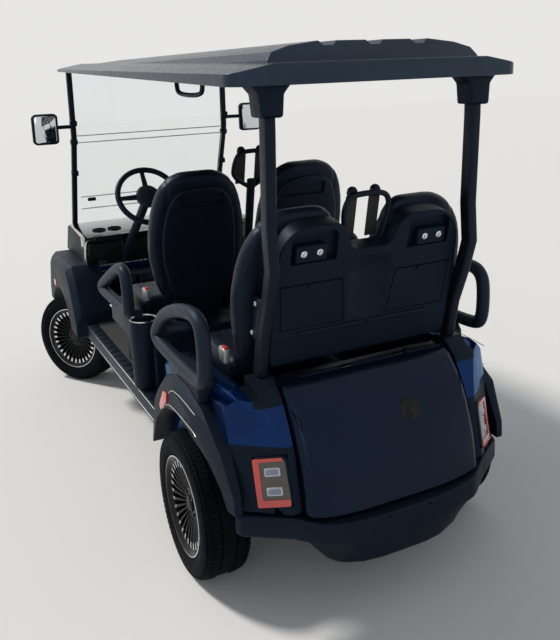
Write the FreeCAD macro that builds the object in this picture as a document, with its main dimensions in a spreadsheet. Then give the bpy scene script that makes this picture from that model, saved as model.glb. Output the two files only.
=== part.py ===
import FreeCAD, Part
import math
import os
import Sketcher
from FreeCAD import Placement, Rotation, Vector

# Four-seat golf cart, millimetres. Origin on the floor under the middle of the cart.
# Front is -Y, rear is +Y, the driver's side is +X, up is +Z.

doc = FreeCAD.newDocument("GolfCart")
sheet = doc.addObject("Spreadsheet::Sheet", "Dims")

SIZES = [
    # wheels and axles
    ("wheel_radius", 297), ("tyre_half_width", 98), ("rim_radius", 202), ("bead_radius", 190),
    ("barrel_radius", 179), ("rim_half_width", 90), ("hub_radius", 50), ("hub_inner", 10),
    ("spoke_windows", 14), ("rear_axle_y", 1068), ("wheelbase", 2398), ("track_half", 594),
    ("kingpin_x", 529), ("steer_rest", 35), ("axle_tube_radius", 38), ("kingpin_radius", 24),
    ("fork_half_height", 82), ("fork_thick", 18), ("running_gap", 0.5), ("wheel_gap", 14),
    # how far the body is lifted on its axles, and how far all is moved so that the
    # origin sits under the middle
    ("body_lift", 100), ("centre_shift", 45),
    # frame and floor
    ("floor_top", 400), ("floor_thick", 24), ("floor_half", 560), ("rail_x", 230), ("rail_width", 60),
    ("rail_height", 80), ("kick_top", 470), ("kick_height", 70), ("floor_front", -842),
    ("floor_rear", 780), ("well_half", 325), ("step_outer", 626), ("step_height", 96),
    ("board_gap", 400),
    # seats
    ("seat_base_top", 690), ("cushion_thick", 110), ("front_base_front", -170),
    ("front_base_rear", 380), ("rear_base_rear", 1340), ("seat_base_wall", 20),
    ("cushion_half", 535), ("cushion_gap", 15), ("seat_lean", 13), ("seat_back_thick", 105),
    ("front_back_y", 150), ("rear_back_y", 1150), ("seat_panel_thick", 28), ("shell_rear", 165),
    # roof and posts
    ("roof_front", -1285), ("roof_rear", 1565), ("roof_half", 590), ("roof_front_z", 1992),
    ("roof_rear_z", 1934), ("roof_plate", 26), ("roof_skirt", 24), ("rear_skirt_z", 1863),
    ("front_brim_z", 1948), ("brim_drop", 30), ("deck_half", 432), ("deck_top", 2004),
    ("deck_fall", 34), ("rib_pitch", 188), ("rib_depth", 15),
    ("rear_post_x", 430), ("rear_post_width", 40), ("rear_post_depth", 58),
    ("front_post_x", 520), ("front_post_width", 34), ("front_post_depth", 36),
    ("post_base_z", 800), ("cowl_post_y", -1480), ("cowl_post_z", 936),
    ("hinge_y", -1255), ("hinge_z", 1537), ("glass_thick", 6),
    # rear body
    ("quarter_outer", 592), ("arch_wall", 8), ("arch_room", 50), ("flare_outer", 674),
    ("flare_slope", 40), ("corner_tilt", 13), ("corner_y", 1532), ("corner_z", 570), ("flare_room", 103),
    ("rail_front", -1640),
    ("lid_half", 386), ("lid_wall", 10), ("lid_hinge_y", 1352), ("lid_top", 768),
    ("lid_bottom", 358), ("lid_rear", 1600), ("side_gap", 8), ("hinge_room", 18),
    ("bumper_rear", 1640), ("bumper_top", 342), ("bumper_bottom", 255), ("bumper_front", 1560),
    ("valance_low", 139),
    # front body
    ("nose_front", -1660), ("front_bar_y", -1730), ("cowl_half", 470), ("cowl_top", 900),
    ("fender_outer", 690), ("well_room", 75), ("steer_room", 55), ("wing_room", 35),
    ("dash_half", 562), ("dash_bottom", 672), ("dash_top", 930),
    # controls and trim
    ("wheel_x", 300), ("wheel_y", -420), ("wheel_z", 1235), ("steering_radius", 172),
    ("steering_tube", 15), ("steering_tilt", 37), ("arm_x", 640), ("arm_tube", 56),
    ("mirror_y", -1210), ("mirror_z", 1595), ("belt_stem", 22), ("belt_loop", 106),
]
for row, (alias, value) in enumerate(SIZES, 1):
    sheet.set(f"A{row}", alias)
    sheet.set(f"B{row}", str(value))
    sheet.setAlias(f"B{row}", alias)
doc.recompute()


class Size:
    """A length that knows both its number and the formula that drives it."""

    def __init__(self, text, value):
        self.text, self.value = text, value

    def __add__(self, other):
        other = size(other)
        return Size(f"({self.text} + {other.text})", self.value + other.value)

    def __sub__(self, other):
        other = size(other)
        return Size(f"({self.text} - {other.text})", self.value - other.value)

    def __radd__(self, other):
        return size(other) + self

    def __rsub__(self, other):
        return size(other) - self

    def __mul__(self, factor):
        return Size(f"({self.text} * {factor})", self.value * factor)

    def __neg__(self):
        return Size(f"(0 - {self.text})", -self.value)


def size(value):
    if isinstance(value, Size):
        return value
    return Size(f"{value:g}" if value >= 0 else f"(0 - {-value:g})", value)


def d(alias):
    return Size("Dims." + alias, float(sheet.get(alias)))


# Height that new pieces are measured from: the floor for the running gear, and later
# the lifted body for all that stands on the axles.
datum = size(0)


def new_body(name):
    body = doc.addObject("PartDesign::Body", name)
    body.Label = name
    return place(body)


def plane_of(body, role):
    """One of the body's own planes or axes."""
    return next(f for f in body.Origin.OriginFeatures if f.Role == role)


def sketch_on(body, role, offset, name):
    """An empty sketch on one of the body's own planes, moved along its normal."""
    sketch = body.newObject("Sketcher::SketchObject", name)
    sketch.AttachmentSupport = (plane_of(body, role), "")
    sketch.MapMode = "FlatFace"
    offset = size(offset)
    sketch.AttachmentOffset = Placement(Vector(0, 0, offset.value), Rotation())
    sketch.setExpression("AttachmentOffset.Base.z", offset.text)
    return sketch


def pin(sketch, geo, point, x, y):
    """Hold one sketch point at a driven distance from the sketch's origin."""
    for kind, value in (("DistanceX", size(x)), ("DistanceY", size(y))):
        index = sketch.addConstraint(Sketcher.Constraint(kind, -1, 1, geo, point, value.value))
        if "Dims." in value.text:
            sketch.setExpression(f"Constraints[{index}]", value.text)


def outline(body, role, points, offset=0, name="Outline"):
    """A closed outline of straight runs, each corner driven from the sheet."""
    sketch = sketch_on(body, role, offset, name)
    points = [(size(x), size(y)) for x, y in points]
    ends = points[1:] + points[:1]
    for (x0, y0), (x1, y1) in zip(points, ends):
        start, end = Vector(x0.value, y0.value, 0), Vector(x1.value, y1.value, 0)
        sketch.addGeometry(Part.LineSegment(start, end))
    count = len(points)
    for i in range(count):
        sketch.addConstraint(Sketcher.Constraint("Coincident", i, 2, (i + 1) % count, 1))
    for i, (x, y) in enumerate(points):
        pin(sketch, i, 1, x, y)
    return sketch


def disc(body, role, x, y, radius, offset=0, name="Circle"):
    """A circle whose centre and radius are driven from the sheet."""
    sketch = sketch_on(body, role, offset, name)
    x, y, radius = size(x), size(y), size(radius)
    sketch.addGeometry(Part.Circle(Vector(x.value, y.value, 0), Vector(0, 0, 1), radius.value))
    pin(sketch, 0, 3, x, y)
    index = sketch.addConstraint(Sketcher.Constraint("Radius", 0, radius.value))
    if "Dims." in radius.text:
        sketch.setExpression(f"Constraints[{index}]", radius.text)
    return sketch


def pad(body, sketch, length, name="Pad"):
    feature = body.newObject("PartDesign::Pad", name)
    feature.Profile = sketch
    length = size(length)
    feature.Length = length.value
    feature.setExpression("Length", length.text)
    doc.recompute()
    return feature


def pocket(body, sketch, length, name="Pocket"):
    """Cut along the sketch's own normal, and prove that something was cut."""
    before = body.Shape.Volume
    feature = body.newObject("PartDesign::Pocket", name)
    feature.Profile = sketch
    length = size(length)
    feature.Length = length.value
    feature.setExpression("Length", length.text)
    feature.Reversed = True
    doc.recompute()
    if body.Shape.Volume >= before - 1:
        raise RuntimeError(f"{body.Label}: {name} cut nothing")
    return feature


def revolve(body, sketch, axis="H_Axis", name="Revolution"):
    feature = body.newObject("PartDesign::Revolution", name)
    feature.Profile = sketch
    feature.ReferenceAxis = (sketch, [axis])
    feature.Angle = 360
    doc.recompute()
    return feature


def edges_where(shape, test):
    return [f"Edge{i + 1}" for i, edge in enumerate(shape.Edges) if test(edge)]


def soften(body, test, radius, kind="Fillet", name="Rounding"):
    """Round or bevel the edges that pass the test."""
    base = body.Tip
    names = edges_where(base.Shape, test)
    feature = body.newObject(f"PartDesign::{kind}", name)
    feature.Base = (base, names)
    radius = size(radius)
    prop = "Radius" if kind == "Fillet" else "Size"
    setattr(feature, prop, radius.value)
    feature.setExpression(prop, radius.text)
    doc.recompute()
    return feature


def along(edge, axis):
    """True for a straight edge that runs along the axis."""
    if len(edge.Vertexes) != 2 or edge.Curve.TypeId != "Part::GeomLine":
        return False
    return abs(edge.tangentAt(edge.FirstParameter).dot(axis)) > 0.999


def prism(name, role, points, start, length):
    """A body made of one padded outline."""
    body = new_body(name)
    pad(body, outline(body, role, points, start), length)
    return body


def place(item, x=0, y=0, z=0, axis=(1, 0, 0), angle=0):
    """Put a sub-part where the sheet says, turned about one axis."""
    x, y, z, angle = size(x), size(y) + d("centre_shift"), size(z) + datum, size(angle)
    item.Placement = Placement(Vector(x.value, y.value, z.value), Rotation(Vector(*axis), angle.value))
    item.setExpression("Placement.Base.x", x.text)
    item.setExpression("Placement.Base.y", y.text)
    item.setExpression("Placement.Base.z", z.text)
    if "Dims." in angle.text:
        item.setExpression("Placement.Rotation.Angle", angle.text)
    return item


PARTS = []


def keep(item, name=None):
    if name:
        item.Label = name
    PARTS.append(item)
    return item


def mirrored(source, name):
    item = doc.addObject("Part::Mirroring", name)
    item.Source = source
    item.Normal = Vector(1, 0, 0)
    item.Base = Vector(0, 0, 0)
    return item


def both_sides(source, name):
    """The left piece and its mirror image as one sub-part of two separate solids."""
    source.Label = name + "_one_side"
    pair = doc.addObject("Part::Compound", name)
    pair.Links = [source, mirrored(source, name + "_other_side")]
    doc.recompute()
    return keep(pair, name)


def fused(name, pieces):
    item = doc.addObject("Part::MultiFuse", name)
    item.Shapes = pieces
    doc.recompute()
    return item


def cut(name, base, tool):
    item = doc.addObject("Part::Cut", name)
    item.Base, item.Tool = base, tool
    doc.recompute()
    return item


def block(name, x, y, z):
    """A plain box from three (low, high) pairs."""
    item = doc.addObject("Part::Box", name)
    for (low, high), prop in ((x, "Length"), (y, "Width"), (z, "Height")):
        span = size(high) - low
        setattr(item, prop, span.value)
        item.setExpression(prop, span.text)
    place(item, x[0], y[0], z[0])
    doc.recompute()
    return item


def rod(name, radius, x, y, z, length, axis, angle=90):
    """A round bar that starts at a point and runs along a turned axis."""
    item = doc.addObject("Part::Cylinder", name)
    radius, length = size(radius), size(length)
    item.Radius, item.Height = radius.value, length.value
    item.setExpression("Radius", radius.text)
    item.setExpression("Height", length.text)
    return place(item, x, y, z, axis, angle)


X_AXIS, Y_AXIS, Z_AXIS = Vector(1, 0, 0), Vector(0, 1, 0), Vector(0, 0, 1)
front_axle_y = d("rear_axle_y") - d("wheelbase")
hub_z = d("wheel_radius")
rail_top = d("floor_top") - d("floor_thick")
rail_bottom = rail_top - d("rail_height")
cushion_top = d("seat_base_top") + d("cushion_thick")
fork_top = d("wheel_radius") + d("fork_half_height")
fork_bottom = d("wheel_radius") - d("fork_half_height")
scrub = d("track_half") - d("kingpin_x")

# Wheels.
# Tyre: a hollow ring whose beads sit on the rim between its two flanges.
TYRE_SIDE = [
    # across, radius
    (d("rim_half_width") - 18, d("bead_radius")),
    (d("tyre_half_width") - 1, d("bead_radius") + 48),
    (d("tyre_half_width") - 4, d("wheel_radius") - 20),
    (d("tyre_half_width") - 18, d("wheel_radius")),
]
TYRE_INSIDE = [
    (d("rim_half_width") - 30, d("bead_radius")),
    (d("tyre_half_width") - 18, d("wheel_radius") - 30),
]


def tyre(name):
    body = new_body(name)
    ring = TYRE_SIDE + [(-x, y) for x, y in reversed(TYRE_SIDE)]
    ring += [(-x, y) for x, y in TYRE_INSIDE] + list(reversed(TYRE_INSIDE))
    revolve(body, outline(body, "XZ_Plane", ring))
    return body


def rim(name):
    """Barrel, flanges, dished face and hub in one turned profile, then a ring of windows."""
    flange, wide, seat, bore = d("rim_radius"), d("rim_half_width"), d("bead_radius"), d("barrel_radius")
    profile = [
        (d("hub_inner"), 0), (d("hub_inner"), d("hub_radius")), (44, 62), (52, bore),
        (-wide, bore), (-wide, flange), (10 - wide, flange), (12 - wide, seat),
        (wide - 12, seat), (wide - 10, flange), (wide, flange), (wide - 4, flange - 10), (74, bore - 9),
        (66, 60), (70, 44), (70, 0),
    ]
    body = new_body(name)
    revolve(body, outline(body, "XZ_Plane", profile))
    outer = d("barrel_radius") - 17
    window = outline(body, "YZ_Plane", [(-5, 70), (5, 70), (15, outer), (-15, outer)], 30, "Window")
    hole = pocket(body, window, 60)
    ring = body.newObject("PartDesign::PolarPattern", "Windows")
    ring.Originals = [hole]
    ring.Axis = (plane_of(body, "X_Axis"), [""])
    ring.Angle = 360
    ring.setExpression("Occurrences", "Dims.spoke_windows")
    body.Tip = ring
    doc.recompute()
    return body


# The right-hand wheels are the same wheel turned half round about the upright axis.
# The front pair is parked steered, so it also sits swung round its kingpins.
steer = math.radians(d("steer_rest").value)
for side, sign in (("left", 1), ("right", -1)):
    for kind, maker in (("tyre", tyre), ("rim", rim)):
        rear = keep(maker(f"{kind}_rear_{side}"))
        turn = 0 if sign > 0 else 180
        place(rear, d("track_half") * sign, d("rear_axle_y"), d("wheel_radius"), (0, 0, 1), turn)
        front = keep(maker(f"{kind}_front_{side}"))
        reach_x = Size(f"(Dims.kingpin_x + {scrub.text} * cos(Dims.steer_rest * 1 deg))",
                       d("kingpin_x").value + scrub.value * math.cos(steer))
        reach_y = Size(f"({scrub.text} * sin(Dims.steer_rest * 1 deg))", scrub.value * math.sin(steer))
        place(front, reach_x * sign, front_axle_y + reach_y * sign, d("wheel_radius"), (0, 0, 1),
              d("steer_rest") if sign > 0 else d("steer_rest") + 180)

# Knuckle: an upright barrel on the kingpin, a spindle to the hub and a steering arm.
for side, sign in (("left", 1), ("right", -1)):
    name = f"knuckle_{side}"
    body = new_body(name)
    half_height = d("fork_half_height")
    pad(body, disc(body, "XY_Plane", 0, 0, d("kingpin_radius"), -half_height), half_height * 2)
    spindle = scrub + d("hub_inner") - d("running_gap")
    pad(body, disc(body, "YZ_Plane", 0, 0, 20, 0, "Spindle"), spindle)
    pad(body, disc(body, "YZ_Plane", 0, 0, 46, 50, "Flange"), spindle - 50)
    pad(body, outline(body, "XY_Plane", [(-10, 0), (10, 0), (0, 118), (-18, 118)], -75, "Arm"), 14)
    place(body, d("kingpin_x") * sign, front_axle_y, d("wheel_radius"), (0, 0, 1),
          d("steer_rest") if sign > 0 else d("steer_rest") + 180)
    keep(body)

# Front axle: a beam under the rails with a fork at each end that holds the kingpin.
beam_half, beam_top = d("kingpin_x") - 40, rail_bottom + d("body_lift")
beam = block("axle_beam", (-beam_half, beam_half), (front_axle_y - 34, front_axle_y + 34),
             (beam_top - 58, beam_top))
forks = []
for sign in (1, -1):
    inner, web, tip = d("kingpin_x") - 70, d("kingpin_x") - 40, d("kingpin_x") + 24
    points = [
        (inner * sign, fork_bottom - d("fork_thick")), (tip * sign, fork_bottom - d("fork_thick")),
        (tip * sign, fork_bottom), (web * sign, fork_bottom), (web * sign, fork_top), (tip * sign, fork_top),
        (tip * sign, fork_top + d("fork_thick")), (inner * sign, fork_top + d("fork_thick")),
    ]
    side = "left" if sign > 0 else "right"
    forks.append(prism(f"fork_{side}", "XZ_Plane", points, -front_axle_y - 22, 44))
keep(fused("front_axle", [beam] + forks))

# Rear axle: a live axle tube with its gearbox, the drive motor and two spring pads.
rear_y, rear_z = d("rear_axle_y"), d("wheel_radius")
tube_half = d("track_half") - 95
shaft_half = d("track_half") + d("hub_inner") - d("running_gap")
pieces = [
    rod("axle_tube", d("axle_tube_radius"), -tube_half, rear_y, rear_z, tube_half * 2, (0, 1, 0)),
    rod("half_shafts", 22, -shaft_half, rear_y, rear_z, shaft_half * 2, (0, 1, 0)),
    rod("gear_case", 98, -70, rear_y, rear_z, 140, (0, 1, 0)),
    rod("drive_motor", 84, 60, rear_y - 130, rear_z - 4, 140, (0, 1, 0)),
]
spring_top = d("kick_top") - d("kick_height") + d("body_lift")
for sign in (1, -1):
    low, high = d("rail_x") - 24, d("rail_x") + 24
    ends = (low, high) if sign > 0 else (-high, -low)
    pieces.append(block(f"spring_pad_{sign + 1}", ends, (rear_y - 4, rear_y + 76),
                        (rear_z + 10, spring_top)))
keep(fused("rear_axle", pieces))

# Frame and floor. From here on heights are measured in the lifted body.
datum = d("body_lift")
hub_z = d("wheel_radius") - d("body_lift")
quarter_in = d("track_half") - d("tyre_half_width") - d("wheel_gap")


def arch(axle_y, radius, angles):
    """Corner points of a wheel arch round an axle, from front to rear."""
    turns = [math.radians(angle) for angle in angles]
    return [(axle_y + radius * round(math.cos(turn), 5), hub_z + radius * round(math.sin(turn), 5))
            for turn in turns]


kick_top, kick_low = d("kick_top"), d("kick_top") - d("kick_height")
RAIL_SIDE = [
    # along, up: over the top from front to rear, then back underneath
    (d("rail_front"), rail_bottom), (d("rail_front"), rail_top),
    (rear_y - 128, rail_top), (rear_y - 28, kick_top), (1478, kick_top), (1478, d("bumper_top") - 8),
    (d("bumper_front"), d("bumper_top") - 8), (d("bumper_front"), d("bumper_bottom") + 8),
    (1420, d("bumper_bottom") + 8), (1420, kick_low), (rear_y - 8, kick_low),
    (rear_y - 108, rail_bottom),
]
rails = [
    prism(f"rail_{i}", "YZ_Plane", RAIL_SIDE, x - d("rail_width") * 0.5, d("rail_width"))
    for i, x in enumerate((d("rail_x"), -d("rail_x")))
]
CROSS_MEMBERS = [
    # start, end, low, high
    (d("rail_front"), d("rail_front") + 60, rail_bottom, rail_top),
    (-700, -640, rail_bottom, rail_top),
    (100, 160, rail_bottom, rail_top),
    (860, 920, rail_bottom, rail_top),
    (1430, 1470, kick_low, kick_top),
]
members = [block(f"cross_{i}", (-d("rail_x"), d("rail_x")), (start, end), (low, high))
           for i, (start, end, low, high) in enumerate(CROSS_MEMBERS)]
reach = d("floor_half") - 2
outriggers = [block(f"outrigger_{i}", (-reach, reach), (start, start + 50), (rail_bottom + 20, rail_top))
              for i, start in enumerate((-640, 560))]
keep(fused("chassis_frame", rails + members + outriggers))

# Floor: a wide flat pan that narrows between the front wheels and rises as a toe board.
pan = new_body("pan")
half, well, side = d("floor_half"), d("well_half"), quarter_in
board_rear = rear_y - d("board_gap")
pad(pan, outline(pan, "XY_Plane", [
    (-half, d("floor_front")), (-well, d("floor_front")), (-well, -1000), (well, -1000),
    (well, d("floor_front")),
    (half, d("floor_front")), (half, board_rear), (side, board_rear), (side, d("floor_rear")),
    (-side, d("floor_rear")), (-side, board_rear), (-half, board_rear)], rail_top), d("floor_thick"))
toe = prism("toe_board", "YZ_Plane", [
    (-1000, rail_top), (-1000, d("floor_top")), (-1096, 640), (-1120, 640), (-1030, rail_top)],
    -well, well * 2)
keep(fused("floor_pan", [pan, toe]))

# Running boards: long steps along both sides with a tucked-in lower edge.
step_low = d("floor_top") - d("step_height")
board = prism("step", "XZ_Plane", [
    (half, step_low + 20), (half + 12, step_low), (d("step_outer") - 8, step_low),
    (d("step_outer"), step_low + 40),
    (d("step_outer"), d("floor_top") - 6), (d("step_outer") - 6, d("floor_top")),
    (half, d("floor_top"))], -board_rear, board_rear - d("floor_front"))
both_sides(board, "running_boards")

# Seats.
# Seat bases: moulded boxes, open underneath, each wall as thick as the moulding.
wall, base_top = d("seat_base_wall"), d("seat_base_top")
front_base = prism("front_seat_base", "YZ_Plane", [
    (d("front_base_front") + 40, d("floor_top")), (d("front_base_front"), base_top),
    (d("front_base_rear"), base_top), (d("front_base_rear"), d("floor_top"))], -half + 6, half * 2 - 12)
pocket(front_base, outline(front_base, "YZ_Plane", [
    (d("front_base_front") + 60, d("floor_top") - 5), (d("front_base_front") + 24, base_top - wall),
    (d("front_base_rear") - wall, base_top - wall), (d("front_base_rear") - wall, d("floor_top") - 5)],
    -half + 6 + wall, "Hollow"), half * 2 - 12 - wall * 2)
keep(front_base)

keep(block("battery_pack", (-240, 240), (d("front_base_front") + 80, d("front_base_rear") - 70),
           (d("floor_top"), d("floor_top") + 230)), "battery_pack")

rear_base = prism("rear_base_box", "YZ_Plane", [
    (d("floor_rear"), d("floor_top") - 24), (d("floor_rear"), base_top), (d("rear_base_rear"), base_top),
    (d("rear_base_rear"), d("kick_top")), (1180, d("kick_top")), (1180, d("floor_top") + 20),
    (d("floor_rear") + 30, d("floor_top") - 24)], -side, side * 2)
pocket(rear_base, outline(rear_base, "YZ_Plane", [
    (d("floor_rear") + wall, d("floor_top") - 30), (d("floor_rear") + wall, base_top - wall),
    (d("rear_base_rear") - wall, base_top - wall), (d("rear_base_rear") - wall, d("floor_top") - 30)],
    -side + wall, "Hollow"), side * 2 - wall * 2)
ledge = block("hinge_ledge", (-d("lid_half"), d("lid_half")),
              (d("rear_base_rear") - 40, d("lid_hinge_y") - d("hinge_room")), (base_top, d("lid_top")))
hinge_pieces = []
for i, x in enumerate((-250, 250)):
    hinge_pieces += [
        block(f"hinge_leaf_{i}", (x - 25, x + 25), (d("rear_base_rear") - 30, d("lid_hinge_y")),
              (d("lid_top") - 8, d("lid_top") + 8)),
        rod(f"hinge_barrel_{i}", 8, x - 25, d("lid_hinge_y"), d("lid_top"), 50, (0, 1, 0)),
        rod(f"hinge_pin_{i}", 5, x - 45, d("lid_hinge_y"), d("lid_top"), 90, (0, 1, 0)),
    ]
keep(fused("rear_seat_base", [rear_base, ledge] + hinge_pieces))


def cushion(name, front, rear, outer, around=None):
    """A pair of seat cushions with the gap of the middle between them."""
    gap = d("cushion_gap")
    body = prism(name + "_pad", "YZ_Plane", [
        (front, base_top + 20), (front, cushion_top - 40), (front + 40, cushion_top),
        (rear, cushion_top), (rear, base_top), (front + 20, base_top)], gap, outer - gap)
    return both_sides(cut(name + "_fitted", body, around) if around else body, name)


cushion("front_cushions", d("front_base_front") - 70, d("front_back_y") - 2, d("cushion_half"))


def seat_back(name, outer_points, thick, y, z):
    """A leaning back: its front outline padded rearwards, then tipped back."""
    body = new_body(name)
    sketch = outline(body, "XZ_Plane", outer_points, -thick)
    pad(body, sketch, thick)
    place(body, 0, y, z, (-1, 0, 0), d("seat_lean"))
    below = block(name + "_below", (-700, 700), (y - 200, y + 300), (base_top - 300, base_top))
    return cut(name + "_seated", body, below)


SEAT_OUTLINE = [
    # across, up the back
    (150, 60), (150, -110), (390, -110), (390, 60), (440, 60), (500, 180), (d("cushion_half"), 340),
    (530, 530), (482, 692), (392, 757), (184, 757), (92, 692), (40, 530), (28, 340), (40, 180), (60, 60),
]
front_back = seat_back("front_seat_back", SEAT_OUTLINE, d("seat_back_thick"), d("front_back_y") + 14,
                       cushion_top - 60)
both_sides(front_back, "front_seat_backs")

REAR_OUTLINE = [
    (150, 60), (150, -110), (390, -110), (390, 60), (450, 60), (510, 190), (528, 390), (500, 556),
    (424, 668), (342, 722), (166, 722), (112, 668), (62, 540), (30, 512), (30, 60),
]
rear_back = seat_back("rear_seat_back", REAR_OUTLINE, d("seat_back_thick") - d("seat_panel_thick"),
                      d("rear_back_y") + 14, cushion_top - 60)
both_sides(rear_back, "rear_seat_backs")

# Rear seat shell: one deep moulding behind both backs, dipped in the middle and hollow inside.
SHELL_HALF = [
    # across, up the back: from the lower edge round the hump to the dip
    (388, 128), (400, 142), (400, 420), (392, 560), (352, 640), (305, 668), (200, 668), (150, 655),
    (112, 610), (88, 545),
]
SHELL_HOLLOW = [
    (380, 150), (380, 420), (374, 552), (338, 626), (300, 648), (204, 648), (160, 636), (126, 600),
    (100, 525),
]
shell_front, shell_rear = d("seat_back_thick") - d("seat_panel_thick"), d("shell_rear")
shell = new_body("rear_seat_shell")
pad(shell, outline(shell, "XZ_Plane", SHELL_HALF + [(-x, z) for x, z in reversed(SHELL_HALF)], -shell_rear),
    shell_rear - shell_front)
shell_face = shell.Tip.Shape.BoundBox.YMax
soften(shell, lambda e: e.BoundBox.YLength < 0.1 and abs(e.BoundBox.YMin - shell_face) < 0.1, 12, "Chamfer")
pocket(shell, outline(shell, "XZ_Plane", SHELL_HOLLOW + [(-x, z) for x, z in reversed(SHELL_HOLLOW)],
                      20 - shell_rear, "Hollow"), shell_rear - shell_front - 19)
place(shell, 0, d("rear_back_y") + 14, cushion_top - 60, (-1, 0, 0), d("seat_lean"))
keep(shell)


# Armrests: thick closed loops that rise to the rear and stand outside the cushions.
ARMS = {
    # name: outer edge, inner edge (along, up) and where the foot starts and ends
    "armrests_front": (
        [(-292, 800), (-200, 858), (160, 1018), (262, 1026), (302, 984), (320, 800), (286, 762), (-250, 762)],
        [(-150, 818), (160, 956), (234, 964), (248, 930), (262, 818)], (-120, 240)),
    "armrests_rear": (
        [(700, 842), (850, 974), (1046, 1044), (1256, 1080), (1334, 1046), (1352, 940), (1340, 800),
         (1296, 762), (900, 766), (730, 796)],
        [(800, 852), (880, 918), (1066, 986), (1246, 1018), (1280, 992), (1292, 930), (1282, 818),
         (900, 824)], (860, 1200)),
}
arms = {}
tube = d("arm_tube")
for name, (outer, inner, (start, end)) in ARMS.items():
    loop = new_body(name + "_loop")
    pad(loop, outline(loop, "YZ_Plane", outer, d("arm_x") - tube * 0.5), tube)
    pocket(loop, outline(loop, "YZ_Plane", inner, d("arm_x") - tube * 0.5, "Opening"), tube)
    foot = block(name + "_foot", (d("arm_x") - 86, d("arm_x") - 10), (start, end),
                 (base_top - 44, base_top + 84))
    arms[name] = fused(name + "_arm", [loop, foot])

# Roof and posts.
def roof_line(y, drop=0):
    """Height of the roof's sloping top at a given distance along the cart."""
    front, rear = d("roof_front_z"), d("roof_rear_z")
    share = (y - d("roof_front").value) / (d("roof_rear").value - d("roof_front").value)
    return Size(f"({front.text} + ({rear.text} - {front.text}) * {share:.5f} - {size(drop).text})",
                front.value + (rear.value - front.value) * share - size(drop).value)


# The moulding is made in its own leaning frame, which starts at the top of the rear edge.
rf, rr, edge, inner = d("roof_front"), d("roof_rear"), d("roof_half"), d("deck_half")
lean = math.degrees(math.atan((d("roof_front_z") - d("roof_rear_z")).value / (rr - rf).value))
roof_lean = Size(
    "(atan((Dims.roof_front_z - Dims.roof_rear_z) / (Dims.roof_rear - Dims.roof_front)) / 1 deg)", lean)
length, drop, skirt = rr - rf, d("brim_drop"), d("roof_skirt")


def roof_section(half, top, low):
    """Cross-section of the roof: flat in the middle, sloping down to both sides."""
    return [(-half, low), (-half, top - drop), (-inner, top), (inner, top), (half, top - drop), (half, low)]


moulding = new_body("roof_moulding")
pad(moulding, outline(moulding, "XZ_Plane", roof_section(edge, 0, -140)), length)
soften(moulding, lambda e: along(e, Z_AXIS) and abs(e.Vertexes[0].X) > 300, 60)
underside = roof_section(edge - skirt, -d("roof_plate"), -150)
pocket(moulding, outline(moulding, "XZ_Plane", underside, skirt, "Underside"), length - skirt * 2)
front_low, rear_low = d("front_brim_z") - d("roof_front_z"), d("rear_skirt_z") - d("roof_rear_z")
pocket(moulding, outline(moulding, "YZ_Plane", [
    (-length - 5, front_low), (5, rear_low), (5, -160), (-length - 5, -160)], -edge - 5, "SkirtEdge"),
    edge * 2 + 10)
place(moulding, 0, rr, d("roof_rear_z"), (-1, 0, 0), roof_lean)

# The deck runs level on top of it, so it stands out more towards the rear.
top, fall, depth = d("deck_top"), d("deck_fall"), d("rib_depth")
deck = new_body("roof_deck")
pad(deck, outline(deck, "YZ_Plane", [
    (rf + 120, roof_line(-1165, 12)), (rf + 190, top), (rr - 86, top), (rr - 50, roof_line(1515, 12))],
    -inner), inner * 2)
for side in (1, -1):
    pocket(deck, outline(deck, "XZ_Plane", [
        (side * 230, top + 5), (side * 230, top), (side * 340, top - fall * 0.4), (side * 410, top - fall),
        ((inner + 5) * side, top - fall * 2), ((inner + 5) * side, top + 5)], -rr, "Shoulder"), length)
for step in (-1, 0, 1):
    middle = d("rib_pitch") * step
    pocket(deck, outline(deck, "XZ_Plane", [
        (middle - 18, top - depth), (middle + 18, top - depth), (middle + 36, top + 1),
        (middle - 36, top + 1)], -rr, "Valley"), length)
roof = keep(fused("roof", [moulding, deck]))

# Rear posts: kinked, wide bars from the rear deck to the roof.
POST_PATH = [
    # along, up
    (1339, d("post_base_z")), (1376, 958), (1435, 1100), (1478, 1230), (1468, 1380), (1486, 1716),
]
deep = d("rear_post_depth") * 0.5
post_top = roof_line(1490, d("roof_plate"))
line = POST_PATH + [(1488, post_top - 60)]
sides = [(size(y) - deep, z) for y, z in line] + [(size(y) + deep, z) for y, z in reversed(line)]
rear_post = prism("rear_post", "YZ_Plane", sides, d("rear_post_x") - d("rear_post_width") * 0.5,
                  d("rear_post_width"))
both_sides(rear_post, "rear_posts")

# Roof brackets: sleeves over the post tops that spread out under the roof.
px, pw = d("rear_post_x"), d("rear_post_width") * 0.5
bracket = prism("bracket", "XZ_Plane", [
    (px - pw - 20, post_top - 150), (px + pw + 20, post_top - 150), (px + pw + 26, post_top - 74),
    (px + 80, post_top - 36), (px + 82, post_top + 2), (px - 82, post_top + 2), (px - 80, post_top - 36),
    (px - pw - 26, post_top - 74)], -1534, 92)
socket = block("post_socket", (px - pw, px + pw), (1400, 1530), (post_top - 220, post_top - 60))
bracket_body = cut("roof_bracket", bracket, socket)
both_sides(cut("roof_bracket_fitted", bracket_body, roof), "roof_brackets")

# Front posts: raked from the cowl to the windscreen hinge, then nearly upright to the roof.
fx, fw, fd = d("front_post_x"), d("front_post_width") * 0.5, d("front_post_depth") * 0.5
front_top = roof_line(-1250, d("roof_plate"))
FRONT_PATH = [
    # along, up
    (d("cowl_post_y") - 12, d("cowl_post_z") - 34), (d("hinge_y"), d("hinge_z")),
    (d("hinge_y") + 14, front_top - 10),
]
sides = [(size(y) - fd, z) for y, z in FRONT_PATH] + [(size(y) + fd, z) for y, z in reversed(FRONT_PATH)]
front_post = prism("front_post", "YZ_Plane", sides, fx - fw, d("front_post_width"))

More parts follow.
